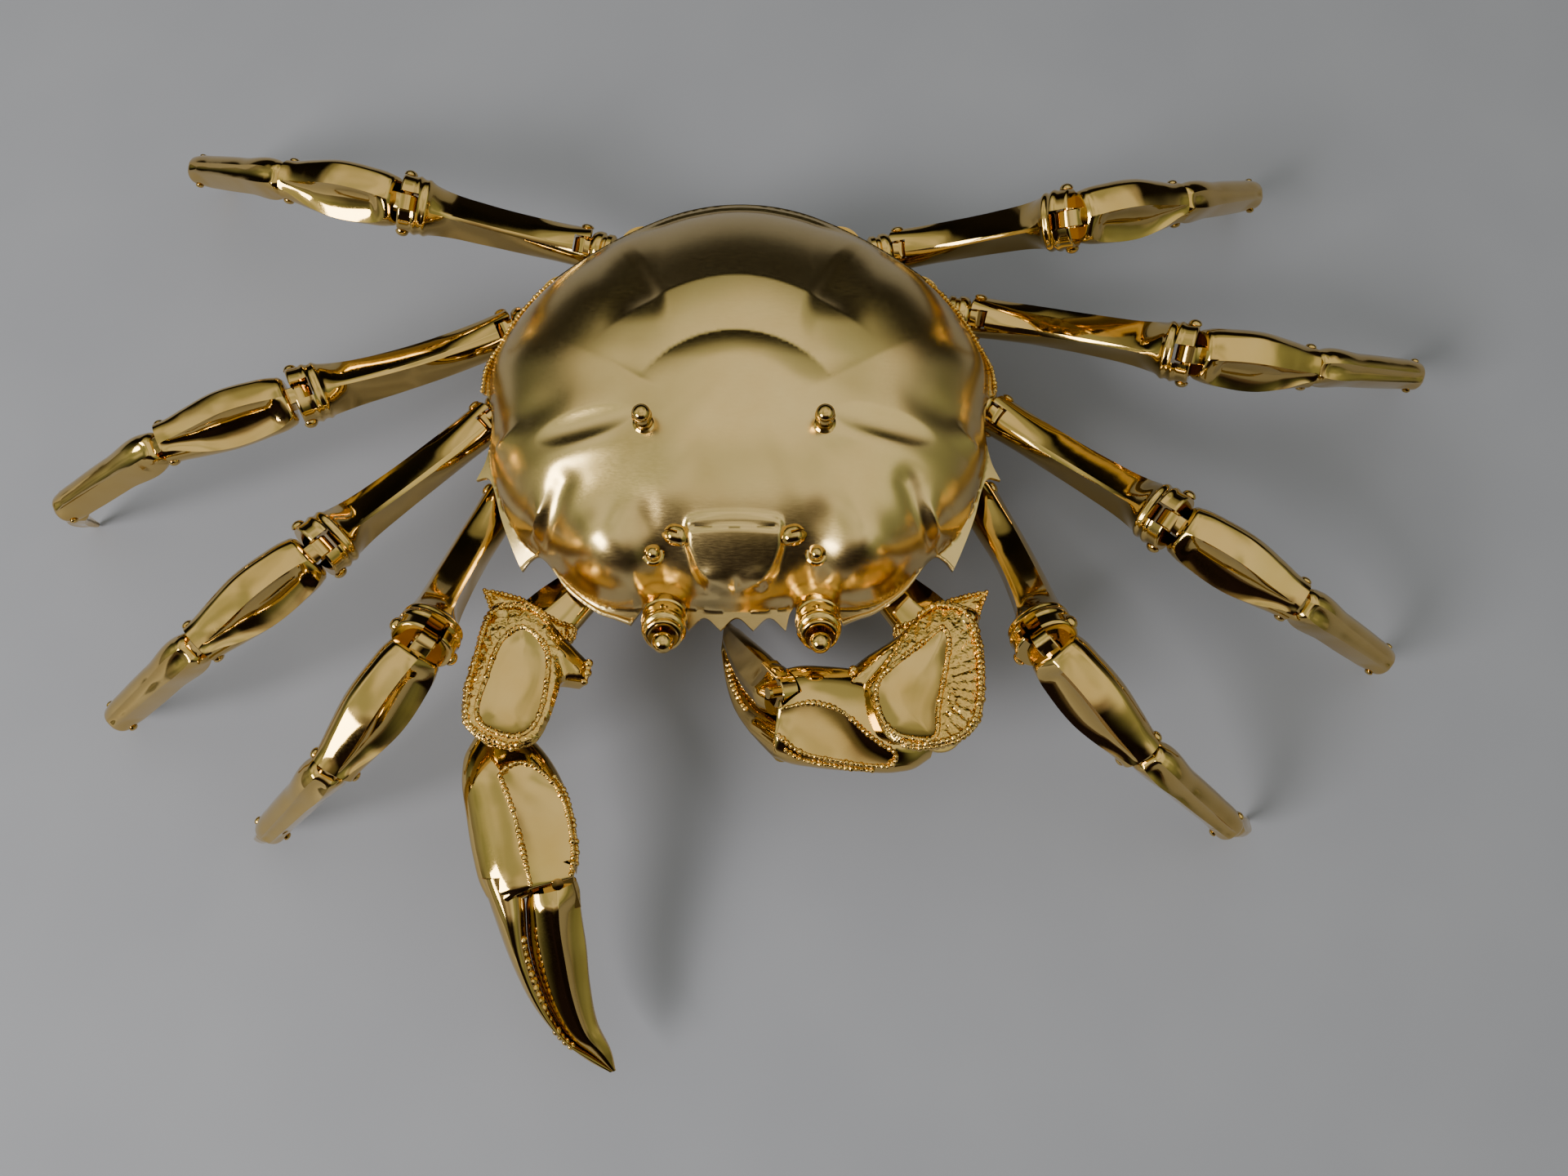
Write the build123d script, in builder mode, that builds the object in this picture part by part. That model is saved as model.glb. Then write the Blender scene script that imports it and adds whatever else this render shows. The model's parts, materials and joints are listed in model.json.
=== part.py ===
from build123d import *
import os
from math import asin, cos, radians, sin, sqrt

# An articulated crab in polished, gold-plated brass, life-like and jointed throughout.
# Millimetres and degrees. Z is up, the claws reach towards -Y, and the tips of the eight
# walking legs stand on Z = 0. The origin lies under the middle of the whole figure.

# Place of the body's own axes in the part's frame
BODY_X = -4.1
BODY_Y = -7.3

# Carapace
SHELL_HALF_WIDTH = 77.5
SHELL_LENGTH = 136.0
SHELL_FRONT_Y = -21.0
SHELL_WALL = 1.6
RIM_Z = 46.0
RIM_THICKNESS = 1.8
RIM_LIP = 3.0
DOME_BASE_Z = RIM_Z + RIM_THICKNESS / 2
DOME_HEIGHT = 31.1

# Half of the rim seen from above, front to rear: share of the half width, share of the length.
# The short points are the frontal teeth, the eye notches and the three side spines.
RIM_SHARES = (
    (0.0, 0.026), (0.061, 0.0), (0.123, 0.026), (0.181, 0.0), (0.219, 0.059), (0.284, 0.063),
    (0.355, 0.034), (0.394, 0.011), (0.516, 0.037), (0.626, 0.085), (0.71, 0.147),
    (0.748, 0.158), (0.806, 0.132), (0.839, 0.169), (0.89, 0.243), (0.929, 0.323),
    (1.0, 0.335), (0.955, 0.375), (0.948, 0.434), (0.955, 0.5), (1.0, 0.537),
    (0.99, 0.588), (0.942, 0.647), (0.865, 0.728), (0.755, 0.801), (0.529, 0.897),
    (0.284, 0.971),
)
RIM_REAR_SHARE = 1.0

# The dome in cross sections: share of the length, of the half width, and of the dome's height
DOME_SHARES = (
    (0.03, 0.40, 0.13), (0.10, 0.60, 0.42), (0.19, 0.76, 0.68), (0.33, 0.89, 0.90),
    (0.48, 0.925, 1.0), (0.64, 0.90, 0.98), (0.80, 0.735, 0.84), (0.90, 0.50, 0.63),
    (0.975, 0.255, 0.36),
)

# Plastron, the bowl that closes the body from below
PLASTRON_WALL = 2.6
PLASTRON_BASE_Z = 20.0
PLASTRON_KNUCKLE_Z = 31.0
PLASTRON_BASE_SHARE = 0.74
PLASTRON_SHARES = (
    (0.0, 0.088), (0.284, 0.094), (0.335, 0.165), (0.44, 0.26), (0.748, 0.355),
    (0.871, 0.415), (0.858, 0.515), (0.90, 0.588), (0.80, 0.70), (0.742, 0.79),
    (0.535, 0.855), (0.484, 0.915), (0.32, 0.95),
)
PLASTRON_REAR_SHARE = 0.968

# Abdomen flap folded under the plastron
FLAP_LENGTH = 62.0
FLAP_WIDTH = 30.0
FLAP_THICKNESS = 3.0
FLAP_TIP_SHARE = 0.3
FLAP_FRONT_SHARE = 0.36

# Swing pins of the legs, from the rear pair to the front pair: share of the shell's half width
# and of its length. The last place carries the claws.
SWING_PIN_SHARES = (
    (0.395, 0.898), (0.702, 0.773), (0.805, 0.591), (0.787, 0.437), (0.323, 0.265),
)
HIP_HEIGHTS = (38.0, 38.0, 38.0, 35.5, 35.0)
HIP_BOSS_RADIUS = 7.0
HIP_BOSS_DROP = 9.0

# Every hinge: a fork with round cheeks, a tongue with a round eye, and a pin through both
PIN_CLEARANCE = 0.05
SIDE_CLEARANCE = 0.3
KNUCKLE_CLEARANCE = 0.4
CHEEK_CHAMFER = 1.2
NECK_SHARE = 0.76
OVERRUN = 12.0

HIP_PIN_RADIUS = 2.0
HIP_CHEEK_RADIUS = 6.5
HIP_FORK_WIDTH = 13.0
HIP_TONGUE_WIDTH = 5.0
HIP_EYE_RADIUS = 4.4

KNEE_PIN_RADIUS = 1.6
KNEE_CHEEK_RADIUS = 7.5
KNEE_FORK_WIDTH = 19.0
KNEE_TONGUE_WIDTH = 6.0
KNEE_EYE_RADIUS = 4.6

ANKLE_PIN_RADIUS = 1.3
ANKLE_CHEEK_RADIUS = 6.0
ANKLE_FORK_WIDTH = 12.6
ANKLE_TONGUE_WIDTH = 4.6
ANKLE_EYE_RADIUS = 3.8

TIP_PIN_RADIUS = 1.0
TIP_CHEEK_RADIUS = 4.9
TIP_FORK_WIDTH = 9.8
TIP_TONGUE_WIDTH = 3.4
TIP_EYE_RADIUS = 3.0

# Limbs
COXA_LENGTH = 20.0
COXA_BARREL_RADIUS = 5.5
COXA_BARREL_START = 10.5
COXA_TONGUE_THICKNESS = 4.4
COXA_TONGUE_WIDTH = 7.0
MERUS_LENGTHS = (55.0, 64.5, 63.5, 61.0)
MERUS_SAG = 5.0
CARPUS_LENGTH = 39.5
PROPODUS_LENGTH = 48.0
DACTYL_LENGTH = 31.0
DACTYL_SLOPE = 78.0
DACTYL_TIP_RADIUS = 0.6

# Posture of the legs as they stand, rear pair to front pair: swing towards the front,
# forward lean of the leg's plane, rise of the merus and rise of the carpus
LEG_ANGLES = {
    "left": ((-13.0, 21.0, 16.5, -6.0), (23.0, 12.0, 10.5, 5.0), (42.0, 22.0, 17.5, 1.0),
             (59.0, 27.0, 37.0, -10.0)),
    "right": ((-10.0, 27.0, 34.0, -20.0), (9.0, 33.0, 18.5, -16.0), (35.0, 22.0, 22.5, -5.0),
              (56.5, 30.0, 38.0, -20.0)),
}

# Stations of the limb pieces: share of the length, share of the sag, width, height
MERUS_STATIONS = (
    (0.0, 0.0, 12.0, 11.6), (0.24, 0.85, 12.4, 12.0), (0.55, 1.0, 12.4, 12.0),
    (0.82, 0.45, 14.8, 12.8), (1.0, 0.0, 18.6, 13.0),
)
CARPUS_STATIONS = (
    (0.13, 0.0, 13.0, 10.4), (0.32, -0.25, 16.4, 13.6), (0.55, -0.35, 17.4, 14.4),
    (0.80, -0.15, 14.6, 12.4), (1.0, 0.0, 12.4, 10.6),
)
PROPODUS_STATIONS = (
    (0.09, 0.0, 10.6, 9.0), (0.45, -0.12, 10.6, 10.2), (1.0, 0.0, 9.6, 9.2),
)
DACTYL_STATIONS = (
    (0.13, 0.0, 7.4, 6.6), (0.45, -0.36, 6.2, 6.6), (0.75, -0.30, 4.2, 4.4),
)
# The flat facet along the front of a carpus: share of the width and of the height, with the
# bow of the round back behind it
FACET_SHARES = (0.20, 0.48)
FACET_SHOULDER_SHARE = 0.62
FACET_BELLY_SHARE = 0.86

# Claws. Elbow and wrist are lap joints: the dished middle piece lies on two round bosses.
CLAW_MERUS_LENGTH = 33.0
CLAW_MERUS_STATIONS = ((0.0, 0.0, 11.6, 11.2), (0.40, 0.0, 15.0, 12.6), (0.9, 0.0, 18.0, 11.0))
CLAW_FLANGE_SHARES = ((0.30, 0.10), (0.72, 0.38), (0.97, 0.50), (1.10, 0.28), (1.12, 0.0))
CLAW_FLANGE_THICKNESS = 7.0
CLAW_BOSS_RADIUS = 6.6
CLAW_BOSS_TOP = 5.0
CLAW_BOSS_HEIGHT = 11.0
CLAW_PIN_RADIUS = 2.0
CLAW_PIN_DEPTH = 6.0
CLAW_CARPUS_LENGTH = 26.5
CLAW_CARPUS_HEIGHT = 10.0
CLAW_WAIST_SHARE = 0.92
DISH_SHARE = 0.84
DISH_DEPTH = 2.2
PALM_LENGTH = 44.5
PALM_DROP = 1.0
FINGER_LENGTH = 54.0
FINGER_GAP = 0.5
FINGER_HINGE_INSET = 6.4
FINGER_PIN_RADIUS = 1.6
FINGER_CHEEK_RADIUS = 6.0
FINGER_FORK_HEIGHT = 12.6
FINGER_TONGUE_HEIGHT = 5.0
FINGER_EYE_RADIUS = 4.4
FINGER_TIP_RADIUS = 0.6

# Posture of the claws: swing and rise of the merus, bends of the elbow and the wrist, droop and
# roll of the palm, and roll and bend of the fingers at the end of the palm
CLAW_ANGLES = {
    "left": (45.0, 8.0, 36.0, 24.0, 6.0, 0.0, 0.0, 22.0),
    "right": (47.0, 12.0, 52.0, 86.0, -13.0, 12.0, 34.0, 60.0),
}

# Plan of the claw's middle piece: share of its length from the elbow, and share inwards. The
# long point on the inner side is its spur.
CLAW_CARPUS_MIDDLE_SHARES = (0.50, -0.02)
CLAW_CARPUS_SHARES = (
    (-0.26, 0.10), (-0.22, -0.20), (0.06, -0.36), (0.36, -0.42), (0.76, -0.47), (1.08, -0.36),
    (1.22, -0.06), (1.12, 0.20), (0.80, 0.32), (0.52, 0.38), (0.46, 0.52), (0.46, 0.76),
    (0.20, 0.82), (0.0, 0.44), (-0.18, 0.30),
)
# Palm: share of its length, inward offset, rise, width, height
PALM_STATIONS = (
    (0.06, 0.0, -0.6, 12.0, 9.0), (0.24, 0.0, 0.0, 20.0, 13.0), (0.55, 0.0, 1.4, 28.0, 17.0),
    (0.84, 0.0, 1.6, 27.4, 17.0), (1.0, 0.0, 1.0, 24.4, 14.6),
)
# Fingers: share of the finger's length, dividing line inwards, rise, width, height
FINGER_STATIONS = (
    (0.0, 0.0, 0.0, 12.0, 12.4), (0.28, 0.2, 0.8, 11.0, 11.2), (0.58, 1.0, 0.4, 8.6, 9.0),
    (0.84, 2.8, -2.0, 5.2, 5.6),
)
FINGER_TIP_SHARES = (1.0, 0.09, -0.08)

# Eyes and studs
EYE_X_SHARE = 0.296
EYE_Y_SHARE = 0.035
EYE_Z = 45.0
EYE_STALK_RADIUS = 6.4
EYE_STALK_LENGTH = 14.0
EYE_COLLAR_RADIUS = 5.4
EYE_COLLAR_LENGTH = 2.0
EYE_BALL_RADIUS = 3.1
EYE_SET_BACK = 3.4
EYE_RISE = 42.0
EYE_SPLAY = 2.0
STUD_RADIUS = 2.9
STUD_HEIGHT = 6.0
STUD_SINK = 4.0
BEAD_RADIUS = 2.4
LUG_RADIUS = 3.2
# Studs on the dome: share of the half width, share of the length, share of the dome's height
PEG_PLACE_SHARES = (0.316, 0.374, 0.955)
BEAD_PLACE_SHARES = (0.29, 0.126, 0.47)
LUG_PLACE_SHARES = (0.214, 0.168, 0.62)

SIDES = {"left": -1, "right": 1}
LEG_NAMES = ("rear", "third", "second", "front")


# Planes and outlines
def body_plane(height):
    """Level plane of the body at a height, with its origin on the shell's middle line."""
    return Plane.XY.offset(height).shift_origin((BODY_X, BODY_Y, height))


def mirrored_outline(half_shares, rear_share):
    """Closed outline from shares of its right half, mirrored about the body's middle line."""
    half = [(x * SHELL_HALF_WIDTH, SHELL_FRONT_Y + y * SHELL_LENGTH) for x, y in half_shares]
    rear = (0, SHELL_FRONT_Y + rear_share * SHELL_LENGTH)
    other = [(-x, y) for x, y in reversed(half) if x > 0]
    return half + [rear] + other


def turned(plane, origin, axis_angles):
    """A plane moved to a new origin and turned about its own axes."""
    moved = Plane(origin, x_dir=plane.x_dir, z_dir=plane.z_dir)
    return Plane(moved.location * Rotation(*axis_angles))


def across(limb, along, aside=0, above=0):
    """Plane square to a limb, with its own x aside and its own y upwards."""
    origin = limb.from_local_coords((along, aside, above))
    return Plane(origin, x_dir=limb.y_dir, z_dir=limb.x_dir)


def coxa_plane(side, pair, swing):
    """Level plane on a swing pin, its x pointing along the leg's coxa."""
    x_share, y_share = SWING_PIN_SHARES[pair]
    x = BODY_X + SIDES[side] * x_share * SHELL_HALF_WIDTH
    y = BODY_Y + SHELL_FRONT_Y + y_share * SHELL_LENGTH
    direction = (SIDES[side] * cos(radians(swing)), -sin(radians(swing)), 0)
    return Plane((x, y, HIP_HEIGHTS[pair]), x_dir=direction, z_dir=(0, 0, 1))


def leg_planes(side, pair):
    """Planes of one leg's five pieces, each with its origin on the joint nearer the body."""
    swing, lean, merus_rise, carpus_rise = LEG_ANGLES[side][pair]
    coxa = coxa_plane(side, pair, swing)
    hip = coxa.from_local_coords((COXA_LENGTH, 0, 0))
    leaning = turned(coxa, hip, (SIDES[side] * lean, 0, 0))
    merus = turned(leaning, hip, (0, -merus_rise, 0))
    knee = merus.from_local_coords((MERUS_LENGTHS[pair], 0, 0))
    carpus = turned(leaning, knee, (0, -carpus_rise, 0))
    ankle = carpus.from_local_coords((CARPUS_LENGTH, 0, 0))
    upright = cos(radians(lean))
    steepness = upright * sin(radians(DACTYL_SLOPE))
    tip_joint_z = DACTYL_LENGTH * steepness + DACTYL_TIP_RADIUS * sqrt(1 - steepness ** 2)
    fall = (ankle.Z - tip_joint_z) / (PROPODUS_LENGTH * upright)
    propodus_rise = -asin(fall) / radians(1)
    propodus = turned(leaning, ankle, (0, -propodus_rise, 0))
    tip_joint = propodus.from_local_coords((PROPODUS_LENGTH, 0, 0))
    dactyl = turned(leaning, tip_joint, (0, DACTYL_SLOPE, 0))
    return {"coxa": coxa, "leaning": leaning, "merus": merus, "carpus": carpus,
            "propodus": propodus, "dactyl": dactyl}


def claw_planes(side):
    """Planes of one claw's pieces, each with its origin on the joint nearer the body."""
    swing, rise, elbow_bend, wrist_bend, droop, roll, finger_roll, bend = CLAW_ANGLES[side]
    inward = -SIDES[side]
    coxa = coxa_plane(side, len(LEG_NAMES), swing)
    shoulder = coxa.from_local_coords((COXA_LENGTH, 0, 0))
    merus = turned(coxa, shoulder, (0, -rise, 0))
    elbow = merus.from_local_coords((CLAW_MERUS_LENGTH, 0, 0))
    carpus = turned(merus, elbow, (0, 0, inward * elbow_bend))
    wrist = carpus.from_local_coords((CLAW_CARPUS_LENGTH, 0, 0))
    palm = turned(carpus, wrist, (0, 0, inward * wrist_bend))
    palm_start = palm.from_local_coords((0, 0, -PALM_DROP))
    blade = turned(turned(palm, palm_start, (0, droop, 0)), palm_start, (inward * roll, 0, 0))
    knuckle = blade.from_local_coords((PALM_LENGTH, 0, PALM_STATIONS[-1][2]))
    fingers = turned(blade, knuckle, (inward * finger_roll, 0, 0))
    fingers = turned(fingers, knuckle, (0, bend, 0))
    hinge = fingers.from_local_coords((0, inward * FINGER_HINGE_INSET, 0))
    return {"coxa": coxa, "leaning": turned(coxa, shoulder, (0, 0, 0)), "merus": merus,
            "carpus": carpus, "palm": palm, "blade": blade, "fingers": fingers,
            "finger": turned(fingers, hinge, (0, 0, 0))}


# Hinge features, made in the limb piece that is being built
def cross_cylinder(radius, length, along, mode=Mode.ADD):
    """A cylinder that lies across the limb, on a hinge axis."""
    with Locations((along, 0, 0)):
        Cylinder(radius, length, rotation=(90, 0, 0), mode=mode)


def cut_slot(along, tongue_width, eye_radius, direction):
    """The slot of a fork, open towards the piece that it holds."""
    depth = eye_radius + KNUCKLE_CLEARANCE + OVERRUN
    middle = along + direction * (depth / 2 - eye_radius - KNUCKLE_CLEARANCE)
    with Locations((middle, 0, 0)):
        Box(depth, tongue_width + 2 * SIDE_CLEARANCE, 2 * OVERRUN, mode=Mode.SUBTRACT)


def add_tongue(length, width, eye_radius):
    """The tongue at the near end of a piece: a round eye on its origin, and a neck."""
    Cylinder(eye_radius, width, rotation=(90, 0, 0))
    with Locations((length / 2, 0, 0)):
        Box(length, width, 2 * NECK_SHARE * eye_radius)


def pin_through(radius, length, along):
    """A hinge pin in its hole: the hole is cut first, and the pin stays a solid of its own."""
    cross_cylinder(radius + PIN_CLEARANCE, length + OVERRUN, along, mode=Mode.SUBTRACT)
    cross_cylinder(radius, length, along)


# Body
def dome_section(half_width, height, skirt):
    """Cross section of the dome: two quarter ellipses, closed by a straight skirt below."""
    with BuildSketch() as section:
        with BuildLine():
            EllipticalCenterArc((0, 0), half_width, height, 0, arc_size=90)
            EllipticalCenterArc((0, 0), half_width, height, 90, arc_size=90)
            if skirt > 0:
                Polyline((-half_width, 0), (-half_width, -skirt), (half_width, -skirt),
                         (half_width, 0))
            else:
                Line((-half_width, 0), (half_width, 0))
        make_face()
    return section.sketch


def dome(inset, skirt):
    """The dome as one solid, drawn in all round by an inset."""
    with BuildPart() as solid:
        last = len(DOME_SHARES) - 1
        for index, (y_share, width_share, height_share) in enumerate(DOME_SHARES):
            y = BODY_Y + SHELL_FRONT_Y + y_share * SHELL_LENGTH
            y += inset * (index == 0) - inset * (index == last)
            plane = Plane((BODY_X, y, DOME_BASE_Z), x_dir=(-1, 0, 0), z_dir=(0, 1, 0))
            with BuildSketch(plane):
                add(dome_section(width_share * SHELL_HALF_WIDTH - inset,
                                 height_share * DOME_HEIGHT - inset, skirt))
        loft()
    return solid.part


def make_carapace():
    """Thin domed shell with a flat, toothed rim and a lip that rests on the plastron."""
    outer = dome(0, 0)
    inner = dome(SHELL_WALL, RIM_THICKNESS)
    with BuildPart() as carapace:
        add(outer)
        add(inner, mode=Mode.SUBTRACT)
        with BuildSketch(body_plane(RIM_Z)):
            Polygon(*mirrored_outline(RIM_SHARES, RIM_REAR_SHARE), align=None)
            with BuildSketch(mode=Mode.PRIVATE) as opening:
                Polygon(*mirrored_outline(PLASTRON_SHARES, PLASTRON_REAR_SHARE), align=None)
                offset(amount=-RIM_LIP, kind=Kind.INTERSECTION)
            add(opening.sketch, mode=Mode.SUBTRACT)
        extrude(amount=RIM_THICKNESS)
    return carapace.part


def plastron_bowl(inset, floor_z):
    """The plastron's bowl as one solid, drawn in all round by an inset."""
    outline = mirrored_outline(PLASTRON_SHARES, PLASTRON_REAR_SHARE)
    middle_y = SHELL_FRONT_Y + SHELL_LENGTH / 2
    with BuildPart() as bowl:
        with BuildSketch(body_plane(PLASTRON_KNUCKLE_Z)):
            Polygon(*outline, align=None)
            if inset > 0:
                offset(amount=-inset, kind=Kind.INTERSECTION)
        extrude(amount=RIM_Z - PLASTRON_KNUCKLE_Z)
        base = [(x * PLASTRON_BASE_SHARE, middle_y + (y - middle_y) * PLASTRON_BASE_SHARE)
                for x, y in outline]
        with BuildSketch(body_plane(PLASTRON_KNUCKLE_Z)):
            Polygon(*outline, align=None)
            if inset > 0:
                offset(amount=-inset, kind=Kind.INTERSECTION)
        with BuildSketch(body_plane(floor_z)):
            Polygon(*base, align=None)
            if inset > 0:
                offset(amount=-inset, kind=Kind.INTERSECTION)
        loft(ruled=True)
    return bowl.part


def swing_planes():
    """Level planes on the ten swing pins, as the coxae stand."""
    planes = []
    for side in SIDES:
        for pair in range(len(LEG_NAMES)):
            planes.append(coxa_plane(side, pair, LEG_ANGLES[side][pair][0]))
        planes.append(coxa_plane(side, len(LEG_NAMES), CLAW_ANGLES[side][0]))
    return planes


def make_plastron():
    """Bowl with a boss around each swing pin and a level slot for each coxa's tongue."""
    outer = plastron_bowl(0, PLASTRON_BASE_Z)
    inner = plastron_bowl(PLASTRON_WALL, PLASTRON_BASE_Z + PLASTRON_WALL)
    slot_height = COXA_TONGUE_THICKNESS + 2 * SIDE_CLEARANCE
    slot_back = HIP_EYE_RADIUS + KNUCKLE_CLEARANCE
    with BuildPart() as plastron:
        add(outer)
        add(inner, mode=Mode.SUBTRACT)
        for plane in swing_planes():
            boss_height = RIM_Z - plane.origin.Z + HIP_BOSS_DROP
            with Locations(plane.offset(-HIP_BOSS_DROP).location):
                Cylinder(HIP_BOSS_RADIUS, boss_height,
                         align=(Align.CENTER, Align.CENTER, Align.MIN))
        for plane in swing_planes():
            middle = plane.from_local_coords(((OVERRUN - slot_back) / 2, 0, 0))
            with Locations(turned(plane, middle, (0, 0, 0)).location):
                Box(OVERRUN + slot_back, 2 * HIP_BOSS_RADIUS, slot_height, mode=Mode.SUBTRACT)
            with Locations(plane.location):
                Cylinder(HIP_PIN_RADIUS + PIN_CLEARANCE, 2 * RIM_Z, mode=Mode.SUBTRACT)
    return plastron.part


def make_hip_pins():
    """The ten upright swing pins, from the foot of each boss to the carapace's lip."""
    with BuildPart() as pins:
        for plane in swing_planes():
            length = RIM_Z - plane.origin.Z + HIP_BOSS_DROP - SIDE_CLEARANCE
            with Locations(plane.offset(-HIP_BOSS_DROP).location):
                Cylinder(HIP_PIN_RADIUS, length, align=(Align.CENTER, Align.CENTER, Align.MIN))
    return pins.part


def make_abdomen():
    """Narrow flap folded forward under the plastron, rounded at its tip."""
    rear_y = SHELL_FRONT_Y + SHELL_LENGTH * (FLAP_FRONT_SHARE) + FLAP_LENGTH
    front_y = rear_y - FLAP_LENGTH
    half = FLAP_WIDTH / 2
    tip = half * FLAP_TIP_SHARE
    with BuildPart() as flap:
        with BuildSketch(body_plane(PLASTRON_BASE_Z - FLAP_THICKNESS)):
            with BuildLine():
                Polyline((-tip, front_y), (-half, front_y + half), (-half, rear_y),
                         (half, rear_y), (half, front_y + half), (tip, front_y))
                ThreePointArc((tip, front_y), (0, front_y - tip), (-tip, front_y))
            make_face()
        extrude(amount=FLAP_THICKNESS)
        chamfer(flap.faces().sort_by(Axis.Z)[0].edges(), FLAP_THICKNESS / 2)
    return flap.part


def eye_planes():
    """Planes at the feet of the two eye stalks, their z along the stalks."""
    planes = []
    for sign in SIDES.values():
        x = BODY_X + sign * EYE_X_SHARE * SHELL_HALF_WIDTH
        y = BODY_Y + SHELL_FRONT_Y + EYE_Y_SHARE * SHELL_LENGTH + EYE_SET_BACK
        reach = cos(radians(EYE_RISE))
        direction = (sign * reach * sin(radians(EYE_SPLAY)), -reach * cos(radians(EYE_SPLAY)),
                     sin(radians(EYE_RISE)))
        planes.append(Plane((x, y, EYE_Z), x_dir=(0, sin(radians(EYE_RISE)), reach),
                            z_dir=direction))
    return planes


def make_eye_stalks():
    """Two stepped barrels under the front of the shell."""
    with BuildPart() as stalks:
        for plane in eye_planes():
            with Locations(plane.location):
                Cylinder(EYE_STALK_RADIUS, EYE_STALK_LENGTH,
                         align=(Align.CENTER, Align.CENTER, Align.MIN))
            with Locations(plane.offset(EYE_STALK_LENGTH).location):
                Cylinder(EYE_COLLAR_RADIUS, EYE_COLLAR_LENGTH,
                         align=(Align.CENTER, Align.CENTER, Align.MIN))
    return stalks.part


def make_eyeballs():
    """Two polished balls seated on the stalks."""
    with BuildPart() as balls:
        for plane in eye_planes():
            seat = EYE_STALK_LENGTH + EYE_COLLAR_LENGTH + EYE_BALL_RADIUS
            with Locations(plane.offset(seat).location):
                Sphere(EYE_BALL_RADIUS)
    return balls.part


def stud_plane(place_shares, sign):
    """Level plane at the foot of a stud on the dome."""
    x_share, y_share, z_share = place_shares
    x = BODY_X + sign * x_share * SHELL_HALF_WIDTH
    y = BODY_Y + SHELL_FRONT_Y + y_share * SHELL_LENGTH
    return Plane((x, y, DOME_BASE_Z + z_share * DOME_HEIGHT), z_dir=(0, 0, 1))


def make_studs():
    """Two upright pegs, two ball studs and two lugs, riveted into the dome."""
    with BuildPart() as studs:
        for sign in SIDES.values():
            peg = stud_plane(PEG_PLACE_SHARES, sign)
            with Locations(peg.offset(-STUD_SINK).location):
                Cylinder(STUD_RADIUS, STUD_SINK + STUD_HEIGHT,
                         align=(Align.CENTER, Align.CENTER, Align.MIN))
            with Locations(peg.offset(STUD_HEIGHT).location):
                Sphere(STUD_RADIUS)
            with Locations(stud_plane(BEAD_PLACE_SHARES, sign).location):
                Sphere(BEAD_RADIUS)
            with Locations(stud_plane(LUG_PLACE_SHARES, sign).location):
                Sphere(LUG_RADIUS)
    return studs.part


# Limbs
def make_coxa(planes):
    """Short barrel between the body and a limb, with a level tongue and a leaning one."""
    barrel_end = COXA_LENGTH - HIP_CHEEK_RADIUS - KNUCKLE_CLEARANCE
    barrel_length = barrel_end - COXA_BARREL_START
    neck = COXA_LENGTH - COXA_BARREL_START
    with BuildPart(planes["coxa"]) as coxa:
        Cylinder(HIP_EYE_RADIUS, COXA_TONGUE_THICKNESS)
        with Locations((COXA_BARREL_START / 2, 0, 0)):
            Box(COXA_BARREL_START, COXA_TONGUE_WIDTH, COXA_TONGUE_THICKNESS)
        with Locations((COXA_BARREL_START + barrel_length / 2, 0, 0)):
            Cylinder(COXA_BARREL_RADIUS, barrel_length, rotation=(0, 90, 0))
        Cylinder(HIP_PIN_RADIUS + PIN_CLEARANCE, OVERRUN, mode=Mode.SUBTRACT)
        with Locations(planes["coxa"].location.inverse() * planes["leaning"].location):
            Cylinder(HIP_EYE_RADIUS, HIP_TONGUE_WIDTH, rotation=(90, 0, 0))
            Box(neck, HIP_TONGUE_WIDTH, 2 * NECK_SHARE * HIP_EYE_RADIUS,
                align=(Align.MAX, Align.CENTER, Align.CENTER))
            Cylinder(KNEE_PIN_RADIUS + PIN_CLEARANCE, OVERRUN, rotation=(90, 0, 0),
                     mode=Mode.SUBTRACT)
    return coxa.part


def make_merus(plane, length):
    """Long leg piece, forked at both ends, with its two hinge pins."""
    with BuildPart(plane) as merus:
        cross_cylinder(HIP_CHEEK_RADIUS, HIP_FORK_WIDTH, 0)
        cross_cylinder(KNEE_CHEEK_RADIUS, KNEE_FORK_WIDTH, length)
        chamfer(merus.edges().filter_by(GeomType.CIRCLE), CHEEK_CHAMFER)
        for share, sag_share, width, height in MERUS_STATIONS:
            with BuildSketch(across(plane, share * length, 0, -sag_share * MERUS_SAG)):
                Ellipse(width / 2, height / 2)
        loft()
        cut_slot(0, HIP_TONGUE_WIDTH, HIP_EYE_RADIUS, -1)
        cut_slot(length, KNEE_TONGUE_WIDTH, KNEE_EYE_RADIUS, 1)
        pin_through(KNEE_PIN_RADIUS, HIP_FORK_WIDTH, 0)
        pin_through(KNEE_PIN_RADIUS, KNEE_FORK_WIDTH, length)
    return merus.part


def facet_outline(width, height, front):
    """Cross section of a carpus: a flat facet to the front and two arcs behind it."""
    reach = front * FACET_SHARES[0] * width
    half = FACET_SHARES[1] * height
    back = -front * width / 2
    shoulder = back * FACET_SHOULDER_SHARE
    with BuildSketch() as section:
        with BuildLine():
            Line((reach, half), (front * width / 2, 0))
            Line((front * width / 2, 0), (reach, -half))
            ThreePointArc((reach, -half), (shoulder, -half * FACET_BELLY_SHARE), (back, 0))
            ThreePointArc((back, 0), (shoulder, half * FACET_BELLY_SHARE), (reach, half))
        make_face()
    return section.sketch


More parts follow.
